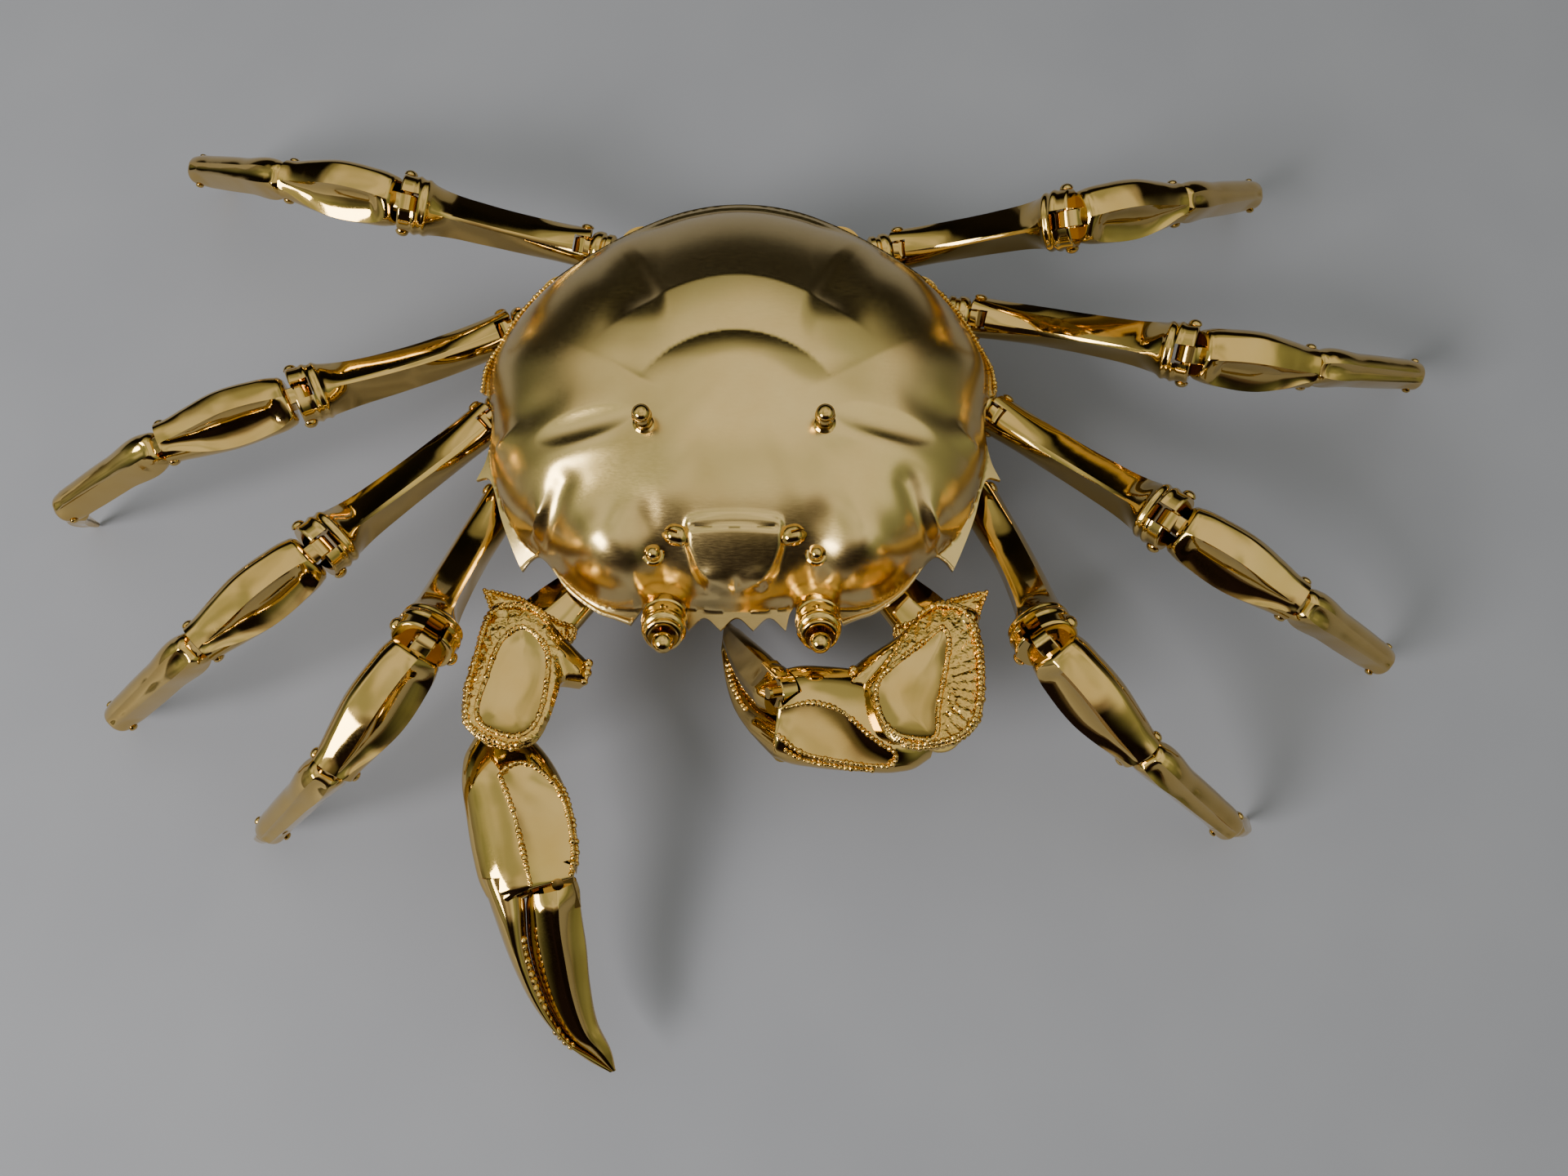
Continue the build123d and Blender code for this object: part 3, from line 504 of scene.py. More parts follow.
def carve(skin: Skin, cutters: Sequence[Skin]) -> Skin:
    """Cuts closed forms out of a skin.

    Args:
        skin: the form that is cut, in millimetres.
        cutters: what is taken away.

    Returns:
        The cut form.
    """
    things = []
    for label, form in (("carve_body", skin), ("carve_cut", joined(cutters))):
        mesh = bpy.data.meshes.new(label)
        mesh.from_pydata(form[0].tolist(), [], form[1])
        work = bmesh.new()
        work.from_mesh(mesh)
        bmesh.ops.recalc_face_normals(work, faces=work.faces)
        work.to_mesh(mesh)
        work.free()
        things.append(added(label, mesh))
    cut = things[0].modifiers.new("cut", "BOOLEAN")
    cut.operation, cut.solver, cut.object = "DIFFERENCE", "EXACT", things[1]
    cut.use_self = len(cutters) > 1
    done = bpy.data.meshes.new_from_object(things[0].evaluated_get(bpy.context.evaluated_depsgraph_get()))
    points = np.zeros(len(done.vertices) * 3)
    done.vertices.foreach_get("co", points)
    faces = [tuple(p.vertices) for p in done.polygons]
    for thing in things:
        bpy.data.objects.remove(thing)
    bpy.data.meshes.remove(done)
    return points.reshape(-1, 3), faces


def box(low: Sequence[float], high: Sequence[float]) -> Skin:
    """A plain box, used only to cut."""
    (x0, y0, z0), (x1, y1, z1) = low, high
    points = np.array([(x, y, z) for x in (x0, x1) for y in (y0, y1) for z in (z0, z1)], float)
    return points, [(0, 1, 3, 2), (4, 6, 7, 5), (0, 4, 5, 1), (2, 3, 7, 6), (0, 2, 6, 4), (1, 5, 7, 3)]


# ---------------------------------------------------------------- finishes


def linear(hex_colour: str) -> tuple[float, float, float, float]:
    """Turns an sRGB hex value to linear.

    Args:
        hex_colour: such as "#C9A85B".

    Returns:
        Red, green, blue and one.
    """
    values = [int(hex_colour[i : i + 2], 16) / 255 for i in (1, 3, 5)]
    r, g, b = (v / 12.92 if v <= 0.04045 else ((v + 0.055) / 1.055) ** 2.4 for v in values)
    return r, g, b, 1.0


def add_node(
    tree: bpy.types.NodeTree, kind: str, settings: dict[Any, Any] | None = None,
    links: dict[Any, bpy.types.NodeSocket] | None = None,
) -> bpy.types.Node:
    """Adds a node with its settings and links.

    Args:
        tree: the node tree.
        kind: the node's type.
        settings: attributes by name, or socket values by socket name or number.
        links: what feeds each socket.

    Returns:
        The node.
    """
    node = tree.nodes.new(kind)
    for key, value in (settings or {}).items():
        if isinstance(key, str) and hasattr(node, key):
            setattr(node, key, value)
        else:
            node.inputs[key].default_value = value
    for key, source in (links or {}).items():
        tree.links.new(source, node.inputs[key])
    return node


def noise(
    tree: bpy.types.NodeTree, place: bpy.types.NodeSocket, scale: float, detail: float, roughness: float = 0.5
) -> bpy.types.NodeSocket:
    """The grey value of a soft noise over places."""
    settings = {"Scale": scale, "Detail": detail, "Roughness": roughness}
    return add_node(tree, "ShaderNodeTexNoise", settings, {"Vector": place}).outputs["Fac"]


def mixed(tree: bpy.types.NodeTree, share: Any, first: Any, second: Any, blend: str = "MIX") -> bpy.types.NodeSocket:
    """Mixes two colours.

    Args:
        tree: the node tree.
        share: how much the second one counts, a socket or a number.
        first: a socket or a linear colour.
        second: a socket or a linear colour.
        blend: how the second one is laid on.

    Returns:
        The mixed colour.
    """
    settings: dict[Any, Any] = {"data_type": "RGBA", "blend_type": blend}
    links: dict[Any, bpy.types.NodeSocket] = {}
    for slot, value in ((0, share), (6, first), (7, second)):
        (links if isinstance(value, bpy.types.NodeSocket) else settings)[slot] = value
    return add_node(tree, "ShaderNodeMix", settings, links).outputs[2]


@dataclass(frozen=True)
class PlatedBrass:
    """Cast brass with a thin gold plating.

    Args:
        name: the material's name.
        light: the colour where the plating is bright.
        deep: the colour where it is rubbed warmer.
        gloss: roughness of the best polished places.
        haze: roughness added where the polish is dull.
        grain_mm: width of one polishing stroke.
        grain_turn: stretch of the strokes along x, y and z.
        grain_depth: how far the strokes bend the light.
        ripple_mm: width of the casting's soft unevenness.
        ripple_depth: how far it bends the light.
    """

    CLOUD_MM: ClassVar[float] = 14  # width of the patches of light and deep colour

    name: str
    light: str
    deep: str
    gloss: float
    haze: float
    grain_mm: float = 0.5
    grain_turn: tuple[float, float, float] = (1.0, 1.0, 1.0)
    grain_depth: float = 0.02
    ripple_mm: float = 9.0
    ripple_depth: float = 0.03

    def make(self) -> bpy.types.Material:
        """Builds the material: plating colour, dull and bright polish, strokes and ripple."""
        material = bpy.data.materials.new(self.name)
        material.use_nodes = True
        tree = material.node_tree
        shader = tree.nodes["Principled BSDF"]
        shader.inputs["Metallic"].default_value = 1.0
        place = add_node(tree, "ShaderNodeTexCoord").outputs["Object"]
        cloud = noise(tree, place, 1 / (self.CLOUD_MM * MM), 3.0, 0.55)
        colour = mixed(tree, cloud, linear(self.light), linear(self.deep))
        tree.links.new(colour, shader.inputs["Base Color"])
        stretched = add_node(
            tree, "ShaderNodeMapping", {"Scale": tuple(s / (self.grain_mm * MM) for s in self.grain_turn)},
            {"Vector": place},
        )
        strokes = noise(tree, stretched.outputs[0], 1.0, 2.0, 0.6)
        dull = add_node(
            tree, "ShaderNodeMapRange",
            {"From Min": 0.3, "From Max": 0.7, "To Min": self.gloss, "To Max": self.gloss + self.haze},
            {"Value": strokes},
        )
        tree.links.new(dull.outputs[0], shader.inputs["Roughness"])
        ripple = noise(tree, place, 1 / (self.ripple_mm * MM), 1.0)
        soft = add_node(tree, "ShaderNodeBump", {"Strength": self.ripple_depth, "Distance": MM}, {"Height": ripple})
        fine = add_node(
            tree, "ShaderNodeBump", {"Strength": self.grain_depth, "Distance": 0.1 * MM},
            {"Height": strokes, "Normal": soft.outputs[0]},
        )
        tree.links.new(fine.outputs[0], shader.inputs["Normal"])
        return material


def plated(name: str, light: str, deep: str, **look: Any) -> Any:
    """A field that makes a plated finish when the finishes are made."""
    return field(default_factory=PlatedBrass(name, light, deep, **look).make)


@dataclass
class Finishes:
    """All the finishes of the crab, made once."""

    # Satin polish with fine strokes: broad soft reflections on the shell.
    shell: bpy.types.Material = plated(
        "satin_gold_plated_brass", "#E0C88C", "#D5B778", gloss=0.2, haze=0.07, grain_mm=0.35,
        grain_turn=(0.16, 1.0, 1.0), grain_depth=0.05, ripple_mm=16.0, ripple_depth=0.05,
    )
    # Mirror polish: crisp bright and black bands along the limbs.
    limb: bpy.types.Material = plated(
        "mirror_gold_plated_brass", "#D8BC79", "#CAA65B", gloss=0.05, haze=0.05, grain_mm=0.6, ripple_mm=7.0,
        ripple_depth=0.06,
    )
    # Cast beading and hammered rims: many small sparkles.
    cast: bpy.types.Material = plated(
        "cast_gold_plated_brass", "#E4C67C", "#CFA047", gloss=0.09, haze=0.12, grain_depth=0.35, ripple_mm=1.3,
        ripple_depth=0.5,
    )
    # Underside: the same plating left a little duller and warmer.
    belly: bpy.types.Material = plated(
        "tumbled_gold_plated_brass", "#D9B767", "#C79A46", gloss=0.16, haze=0.14, grain_mm=0.7, grain_depth=0.15,
        ripple_mm=5.0, ripple_depth=0.25,
    )
    # Turned pins: bright ends.
    pin: bpy.types.Material = plated(
        "turned_brass", "#E8CC86", "#D2AC5C", gloss=0.06, haze=0.08, grain_mm=0.2, grain_depth=0.06, ripple_mm=4.0,
        ripple_depth=0.05,
    )


# ---------------------------------------------------------------- repeated detail


class BeadRow:
    """Cast beads along a line, made with Geometry Nodes."""

    def __init__(self) -> None:
        """Builds the node tree once."""
        tree = bpy.data.node_groups.new("bead_row", "GeometryNodeTree")
        face = tree.interface
        face.new_socket("Geometry", in_out="INPUT", socket_type="NodeSocketGeometry")
        face.new_socket("Geometry", in_out="OUTPUT", socket_type="NodeSocketGeometry")
        for label, kind in (
            ("Spacing", "NodeSocketFloat"), ("Bead Radius", "NodeSocketFloat"), ("Unevenness", "NodeSocketFloat"),
            ("Wire Radius", "NodeSocketFloat"), ("Finish", "NodeSocketMaterial"), ("Seed", "NodeSocketInt"),
        ):
            face.new_socket(label, in_out="INPUT", socket_type=kind)
        given = add_node(tree, "NodeGroupInput").outputs
        line = add_node(tree, "GeometryNodeMeshToCurve", {}, {"Mesh": given["Geometry"]}).outputs[0]
        spots = add_node(
            tree, "GeometryNodeCurveToPoints", {"mode": "LENGTH"}, {"Curve": line, "Length": given["Spacing"]}
        )
        ball = add_node(tree, "GeometryNodeMeshIcoSphere", {"Subdivisions": 2}, {"Radius": given["Bead Radius"]})
        low = add_node(tree, "ShaderNodeMath", {"operation": "SUBTRACT", 0: 1.0}, {1: given["Unevenness"]})
        high = add_node(tree, "ShaderNodeMath", {"operation": "ADD", 0: 1.0}, {1: given["Unevenness"]})
        size = add_node(
            tree, "FunctionNodeRandomValue", {"data_type": "FLOAT"},
            {2: low.outputs[0], 3: high.outputs[0], 8: given["Seed"]},
        )
        beads = add_node(
            tree, "GeometryNodeInstanceOnPoints", {},
            {"Points": spots.outputs[0], "Instance": ball.outputs[0], "Scale": size.outputs[1]},
        )
        solid = add_node(tree, "GeometryNodeRealizeInstances", {}, {0: beads.outputs[0]})
        ring = add_node(tree, "GeometryNodeCurvePrimitiveCircle", {"Resolution": 8}, {"Radius": given["Wire Radius"]})
        wire = add_node(
            tree, "GeometryNodeCurveToMesh", {"Fill Caps": True}, {"Curve": line, "Profile Curve": ring.outputs[0]}
        )
        both = add_node(tree, "GeometryNodeJoinGeometry")
        tree.links.new(solid.outputs[0], both.inputs[0])
        tree.links.new(wire.outputs[0], both.inputs[0])
        done = add_node(tree, "GeometryNodeSetMaterial", {}, {0: both.outputs[0], "Material": given["Finish"]})
        add_node(tree, "NodeGroupOutput", {}, {0: done.outputs[0]})
        self.tree = tree

    def lay(
        self, name: str, lines: Sequence[np.ndarray], finish: bpy.types.Material, spacing: float, radius: float,
        uneven: float, wire: float,
    ) -> bpy.types.Object:
        """Lays beads along lines.

        Args:
            name: the piece's name.
            lines: rows of points in metres, one array for each line.
            finish: the beads' material.
            spacing: distance between beads in millimetres.
            radius: a bead's radius in millimetres.
            uneven: share by which beads differ in size.
            wire: radius in millimetres of the seam that joins them.

        Returns:
            The piece as a plain mesh object.
        """
        points, edges = [], []
        for line in lines:
            start = len(points)
            points += line.tolist()
            edges += [(start + i, start + i + 1) for i in range(len(line) - 1)]
        mesh = bpy.data.meshes.new(name + "_line")
        mesh.from_pydata(points, edges, [])
        thing = added(name, mesh)
        work = thing.modifiers.new("beads", "NODES")
        work.node_group = self.tree
        values = {
            "Spacing": spacing * MM, "Bead Radius": radius * MM, "Unevenness": uneven, "Wire Radius": wire * MM,
            "Finish": finish, "Seed": BEAD_SEED,
        }
        for item in self.tree.interface.items_tree:
            if item.in_out == "INPUT" and item.name in values:
                work[item.identifier] = values[item.name]
        done = bpy.data.meshes.new_from_object(thing.evaluated_get(bpy.context.evaluated_depsgraph_get()))
        thing.modifiers.remove(work)
        thing.data = done
        bpy.data.meshes.remove(mesh)
        finish_mesh(done, 40.0)
        return thing


# ---------------------------------------------------------------- shell


def within(outline: np.ndarray, points: np.ndarray) -> np.ndarray:
    """Tells which points lie inside an outline.

    Args:
        outline: rows of (x, y), closed, in order.
        points: rows of (x, y).

    Returns:
        One truth value for each point.
    """
    inside = np.zeros(len(points), bool)
    for (ax, ay), (bx, by) in zip(outline, np.roll(outline, -1, axis=0)):
        if ay != by:
            crosses = (points[:, 1] > ay) != (points[:, 1] > by)
            inside ^= crosses & (points[:, 0] < ax + (points[:, 1] - ay) * (bx - ax) / (by - ay))
    return inside


class Relief:
    """A plate whose top is a height over x and y, closed below and round its edge."""

    EVEN_ROWS: ClassVar[float] = 0.866  # height of an even triangle over its side

    def __init__(self, outline: np.ndarray, step: float, seams: Sequence[np.ndarray] = ()) -> None:
        """Spreads points over the outline.

        Args:
            outline: rows of (x, y), closed, in order.
            step: spacing of the points in millimetres.
            seams: lines that the triangles follow.
        """
        x0, y0 = outline.min(0)
        x1, y1 = outline.max(0)
        rows = []
        for i, y in enumerate(np.arange(y0, y1, step * self.EVEN_ROWS)):
            xs = np.arange(x0 + (i % 2) * step / 2, x1, step)
            rows.append(np.column_stack([xs, np.full(len(xs), y)]))
        grid = np.concatenate(rows)
        keep = within(outline, grid)
        for line in (np.concatenate([outline, outline[:1]]), *seams):
            keep &= distance(grid, line) > 0.55 * step
        grid = grid[keep]
        n = len(outline)
        points = [tuple(p) for p in outline]
        edges = [(i, (i + 1) % n) for i in range(n)]
        for line in seams:
            edges += [(len(points) + i, len(points) + i + 1) for i in range(len(line) - 1)]
            points += [tuple(p) for p in line]
        points += [tuple(p) for p in grid]
        found, _, triangles, _, _, _ = delaunay_2d_cdt([Vector(p) for p in points], edges, [], 0, 1e-5)
        self.points = np.array([tuple(p) for p in found])
        middle = np.array([self.points[list(t)].mean(0) for t in triangles])
        inner = within(outline, middle)
        self.triangles = np.array([t for t, k in zip(triangles, inner) if k])

    def skin(self, top: Callable[[np.ndarray], np.ndarray], bottom: Callable[[np.ndarray], np.ndarray]) -> Skin:
        """Closes the plate.

        Args:
            top: height of the upper face over rows of (x, y).
            bottom: height of the lower face.

        Returns:
            Points and faces.
        """
        n = len(self.points)
        upper = np.column_stack([self.points, top(self.points)])
        lower = np.column_stack([self.points, bottom(self.points)])
        counts: dict[tuple[int, int], int] = {}
        for a, b, c in self.triangles:
            for e in ((a, b), (b, c), (c, a)):
                counts[e] = counts.get(e, 0) + 1
        rim = [e for e in counts if (e[1], e[0]) not in counts]
        faces: Faces = [tuple(int(i) for i in t) for t in self.triangles]
        faces += [tuple(int(i) + n for i in reversed(t)) for t in self.triangles]
        faces += [(int(b), int(a), int(a) + n, int(b) + n) for a, b in rim]
        return np.concatenate([upper, lower]), faces


def distance(points: np.ndarray, line: np.ndarray) -> np.ndarray:
    """Distance from points to a line of straight runs.

    Args:
        points: rows of (x, y).
        line: the corners of the line.

    Returns:
        One distance for each point.
    """
    best = np.full(len(points), 1e9)
    for a, b in zip(line[:-1], line[1:]):
        run = b - a
        t = np.clip(((points - a) @ run) / max(float(run @ run), 1e-12), 0, 1)
        best = np.minimum(best, np.linalg.norm(points - a - t[:, None] * run, axis=1))
    return best


def curved(points: Stations, step: float, closed: bool = False) -> np.ndarray:
    """Runs a smooth curve through points.

    Args:
        points: rows of (x, y, sharp); a sharp point stays a corner.
        step: spacing of the result.
        closed: whether the curve closes on itself.

    Returns:
        Rows of (x, y).
    """
    table = np.array([p[:2] for p in points], float)
    sharp = [len(p) > 2 and bool(p[2]) for p in points]
    n = len(table)
    result = []
    for i in range(n if closed else n - 1):
        j = (i + 1) % n
        p1, p2 = table[i], table[j]
        p0 = table[i - 1] if (closed or i > 0) and not sharp[i] else p1 - (p2 - p1)
        k = (j + 1) % n
        p3 = table[k] if (closed or j < n - 1) and not sharp[j] else p2 + (p2 - p1)
        h = float(np.linalg.norm(p2 - p1))
        m1 = (p2 - p0) / max(np.linalg.norm(p2 - p1) + np.linalg.norm(p1 - p0), 1e-9) * h
        m2 = (p3 - p1) / max(np.linalg.norm(p3 - p2) + np.linalg.norm(p2 - p1), 1e-9) * h
        a, b, c, d = weights(np.linspace(0, 1, max(2, int(math.ceil(h / step)) + 1))[:-1, None])
        result.append(a * p1 + b * m1 + c * p2 + d * m2)
    if not closed:
        result.append(table[-1:])
    return np.concatenate(result)


@dataclass
class Shell:
    """The carapace: a thin domed casting with teeth, spines, folds, dimples and a raised mask in front."""

    rim_z: float = 46.0
    rim_thick: float = 1.7
    height: float = 30.6
    step: float = 0.8
    middle_y: float = 47.0  # the dome's middle
    flange_fall: float = 0.42  # how steeply the rim falls beyond the dome's foot
    flange_width: float = 6.0
    arc_centre: float = 27.0
    arc_radius: float = 31.0
    crease: Stations = ((57, 70.5, 84, 96), (16.8, 19.6, 26.0, 33.0))  # places along y, and the fold's x there
    half_rim: Stations = (
        (0, -17.6), (4.7, -21, 1), (9.3, -17.6), (14, -21, 1), (15.6, -15.6), (19.5, -12.6), (24.5, -12.8),
        (28.6, -17.2), (30.5, -19.5, 1), (34.5, -18.0), (40, -16), (48.5, -9.6), (54.8, -1.6), (57.6, 0.4),
        (60.2, -0.9), (62.5, -3.4, 1), (65, 2), (69, 12), (71.8, 21.5), (73.8, 24.6), (77.5, 24.4, 1),
        (74.8, 29.5), (73.4, 37), (73.7, 46), (75.2, 50.2), (77.5, 52, 1), (76.7, 59), (73, 67), (67, 78),
        (58.5, 88), (41, 101.2), (22, 111), (8, 114.6),
    )
    half_foot: Stations = (
        (0, -16.0), (12, -15.2), (22, -13.6), (31, -15.6), (40, -13.6), (48, -8.4), (55, -0.6), (61.5, 3.6),
        (67.2, 12.4), (70.6, 21.8), (72.8, 29), (73.0, 40), (74.0, 50), (74.8, 59), (71.6, 67), (65.8, 77.2),
        (57.6, 87.2), (40.4, 100.2), (21.8, 109.8), (8, 113.4),
    )

    def outline(self) -> np.ndarray:
        """The rim seen from above, anticlockwise, in millimetres."""
        right = list(self.half_rim)
        left = [(-p[0], *p[1:]) for p in right[1:]][::-1]
        return curved([*right, *left], self.step, closed=True)

    def polar(self, p: np.ndarray) -> tuple[np.ndarray, np.ndarray]:
        """How far rows of (x, y) lie from the dome's middle, and their direction, zero towards the front."""
        x, ahead = np.abs(p[:, 0]), self.middle_y - p[:, 1]
        return np.hypot(x, ahead), np.arctan2(x, ahead)

    def foot_radius(self, angle: np.ndarray) -> np.ndarray:
        """Distance from the dome's middle to its foot.

        Args:
            angle: direction in radians, zero towards the front, positive to either side.

        Returns:
            Millimetres.
        """
        reach, turn = self.polar(curved(self.half_foot, self.step))
        order = np.argsort(turn)
        even = np.radians(np.linspace(-24, 204, 229))
        drawn = np.interp(np.abs(np.where(even > math.pi, 2 * math.pi - even, even)), turn[order], reach[order])
        window = np.exp(-((np.arange(-9, 10) / 4.5) ** 2))
        soft = np.convolve(drawn, window / window.sum(), "same")
        return np.interp(angle, even[20:-20], soft[20:-20])

    def dome(self, p: np.ndarray) -> np.ndarray:
        """The plain dome without its relief.

        Args:
            p: rows of (x, y).

        Returns:
            Heights.
        """
        away, angle = self.polar(p)
        foot = self.foot_radius(angle)
        share = np.clip(away / foot, 0, 1)
        front, rear = (1 + np.cos(angle)) / 2, (1 - np.cos(angle)) / 2
        # how full and how steep the dome is in front, behind and to the sides
        power = 2.5 * front**2 + 2.15 * rear**2 + 2.3 * 2 * front * rear
        ease = 0.62 * front**2 + 0.64 * rear**2 + 0.5 * 2 * front * rear
        t, soft = 1 - share**power, 0.02
        rise = ((t + soft) ** ease - soft**ease) / ((1 + soft) ** ease - soft**ease)
        flange = self.flange_fall * np.minimum(np.maximum(away - foot, 0), self.flange_width)
        return self.rim_z + self.rim_thick + self.height * rise - flange

    def relief(self, p: np.ndarray) -> np.ndarray:
        """Everything that stands proud of the plain dome or sinks into it.

        Args:
            p: rows of (x, y).

        Returns:
            Millimetres to add.
        """
        x, y = np.abs(p[:, 0]), p[:, 1]
        add = np.zeros(len(p))
        # side dimples: pointed ovals, steeper on their front side
        u = (x - 41.5) * math.cos(0.15) - (y - 31.2) * math.sin(0.15)
        v = (x - 41.5) * math.sin(0.15) + (y - 31.2) * math.cos(0.15)
        lens = np.clip(1 - (u / 15) ** 2 - (v / 4.6) ** 2, 0, 1)
        add -= 0.85 * lens**1.3
        add += 0.6 * bump(u, 3, 14) * bump(v, -6.5, 3.5)
        # shallow trough from the dimple towards the side spine
        add -= 0.8 * bump(y, 38 - (x - 50) * 0.1, 5) * ramp(x, 44, 60)
        # ridges of the side spine and of the front side spine
        for start, end, height, width, power, fade in (
            ((77.5, 24.4), (60, 37.5), 2.6, 6.5, 1.6, 0.35),
            ((62.5, -3.4), (51, 16), 3.4, 6.0, 1.5, 0.45),
        ):
            away, along = segment(x, y, start, end)
            add += height * np.clip(1 - away / width, 0, 1) ** power * (1 - ramp(along, fade, 1.0))
        # hollow on the inner side of the front side spine
        away, _ = segment(x, y, (55.5, 1.0), (47.5, 16))
        add -= 1.6 * bump(away, 0, 3.6)
        # two swellings at each front corner, then two hollows between them and the mask
        for height, middle_x, wide_x, middle_y, wide_y in (
            (4.2, 38.5, 10.5, -1.5, 9.5), (1.6, 30, 8, -8, 6), (-2.2, 21.5, 4.2, -9, 5.5), (-1.2, 24, 5, 4, 6),
        ):
            add += height * bump(x, middle_x, wide_x) * bump(y, middle_y, wide_y)
        return add + self.mask(x, y) + self.rear_field(x, y)

    def mask(self, x: np.ndarray, y: np.ndarray) -> np.ndarray:
        """The raised front plate with its folded top edge and two lobes.

        Args:
            x: distance from the middle plane.
            y: place front to back.

        Returns:
            Millimetres to add.
        """
        side = 13.2 - 0.35 * np.clip(-y - 2, 0, 20) - 0.045 * np.clip(-y - 5, 0, 20) ** 2
        inside = ramp(side - x, -0.6, 1.0) * ramp(y, -13.4 + 0.02 * x**2, -12.2 + 0.02 * x**2)
        plate = (2.0 + 0.09 * np.clip(2 - y, 0, 14)) * inside * (1 - ramp(y, 2.0, 5.6))
        fold = -0.9 * bump(y, 2.9 - 0.004 * x**2, 0.8) * ramp(13.6 - x, 0, 2.5)
        crest = 0.55 * bump(y, 5.3 - 0.006 * x**2, 0.9) * ramp(13.6 - x, 0, 3)
        lobes = 1.3 * bump(np.hypot((x - 6.3) / 1.5, y + 10.2), 0, 2.6) * inside
        cleft = -1.0 * bump(x, 0, 1.1) * ramp(-y, 8.6, 11.5) * inside
        steps = (ramp(y, low + 0.012 * x**2, low + 0.5 + 0.012 * x**2) for low in (-16.8, -15.2))
        ledges = sum(0.5 * step * (1 - ramp(x, 13, 17)) for step in steps) * (1 - ramp(y, -14, -12))
        return plate + fold + crest + lobes + cleft + ledges

    def rear_field(self, x: np.ndarray, y: np.ndarray) -> np.ndarray:
        """The stepped arc, the flat strip behind it and the fold that ends the strip.

        Args:
            x: distance from the middle plane.
            y: place front to back.

        Returns:
            Millimetres to add.
        """
        r = np.hypot(x, y - self.arc_centre)
        turn = np.degrees(np.arctan2(x, y - self.arc_centre))
        depth = 2.3 * np.clip(1 - (turn / 58) ** 2, 0, 1) ** 0.7
        below = (r < self.arc_radius) & (y > self.arc_centre)
        step = np.where(below, -depth * np.clip(1 - (self.arc_radius - r) / 9.5, 0, 1) ** 1.7, 0.0)
        fall = np.exp(-np.clip(r - self.arc_radius, 0, 99) / 24.0)
        lip = np.where((y > self.arc_centre) & ~below, -depth * fall, 0.0)
        outside = x - np.interp(y, *self.crease)
        behind = ramp(y, 50, 70) * (1 - ramp(y, 80, 110))
        pocket = -1.8 * behind * ramp(outside, -0.15, 5.5) * (1 - ramp(outside, 8, 26))
        pocket = pocket * (0.35 + 0.65 * ramp(y, 60, 73))
        fold_line = 76.2 - 5.2 * (x / 20) ** 2
        over = np.clip(y - fold_line, 0, 60)
        fold = -3.0 * (1 - np.exp(-over / 11.0)) * (1 - ramp(x, 22, 40))
        return step + lip + pocket + fold

    def top(self, p: np.ndarray) -> np.ndarray:
        """Height of the upper face over rows of (x, y)."""
        inner = ramp(self.foot_share(p), 0.0, 0.05)
        return self.dome(p) + self.relief(p) * inner

    def foot_share(self, p: np.ndarray) -> np.ndarray:
        """How far inside the foot points are, as a share of its reach."""
        away, angle = self.polar(p)
        return 1 - away / self.foot_radius(angle)

    def bottom(self, p: np.ndarray) -> np.ndarray:
        """Height of the lower face over rows of (x, y)."""
        inner = ramp(self.foot_share(p), 0.0, 0.12)
        return self.dome(p) - self.rim_thick - inner * 1.6 + self.relief(p) * inner

    def build(self, finishes: Finishes, beads: BeadRow) -> None:
        """Makes the shell and the beaded seams along its edge.

        Args:
            finishes: the crab's finishes.
            beads: lays the seams.
        """
        outline = self.outline()
        angles = np.radians(np.linspace(-57, 57, 78))
        arc = self.arc_radius * np.column_stack([np.sin(angles), np.cos(angles)])
        ys = np.arange(60.0, 84, 0.7)
        folds = [np.column_stack([s * np.interp(ys, *self.crease), ys]) for s in (-1, 1)]
        plate = Relief(outline, self.step, [arc + [0, self.arc_centre], *folds])
        points, faces = plate.skin(self.top, self.bottom)
        points[:, :2] += SHELL_CENTRE
        piece = new_object("carapace_shell", (points * MM, faces), finishes.shell, 40.0)
        settle(piece, "body", "shell_brass", "carapace")
        # each row of beads: the area of its stretch of the rim, the axis it runs along, its shift and height
        for name, finish, low, high, axis, shift, lift, beading in (
            (
                "shell_side_beads", finishes.cast, (55.5, 51.8), (math.inf, 89), 1, (-0.5, -0.1), 1.6,
                (1.25, 0.62, 0.25, 0.3),
            ),
            (
                "shell_front_seam", finishes.shell, (30, -math.inf), (62.6, 1.5), 0, (-0.3, 0.3), 1.5,
                (1.6, 0.42, 0.3, 0.4),
            ),
        ):
            rows = []
            for s in (-1, 1):
                turn = np.array([s, 1])
                line = outline[((outline * turn > low) & (outline * turn < high)).all(1)]
                line = line[np.argsort((line * turn)[:, axis])] + shift * turn
                lifted = np.column_stack([line, np.full(len(line), self.rim_z + lift)])
                rows.append((lifted + [*SHELL_CENTRE, 0]) * MM)
            settle(beads.lay(name, rows, finish, *beading), "body", "shell_brass")
        log.info("shell: %d triangles", len(faces))


def segment(
    x: np.ndarray, y: np.ndarray, a: tuple[float, float], b: tuple[float, float]
) -> tuple[np.ndarray, np.ndarray]:
    """Distance to a straight run and the share along it.

    Args:
        x: places of the points.
        y: places of the points.
        a: start of the run.
        b: its end.

    Returns:
        Distances and shares.
    """
    dx, dy = b[0] - a[0], b[1] - a[1]
    t = np.clip(((x - a[0]) * dx + (y - a[1]) * dy) / (dx * dx + dy * dy), 0, 1)
    return np.hypot(x - a[0] - t * dx, y - a[1] - t * dy), t


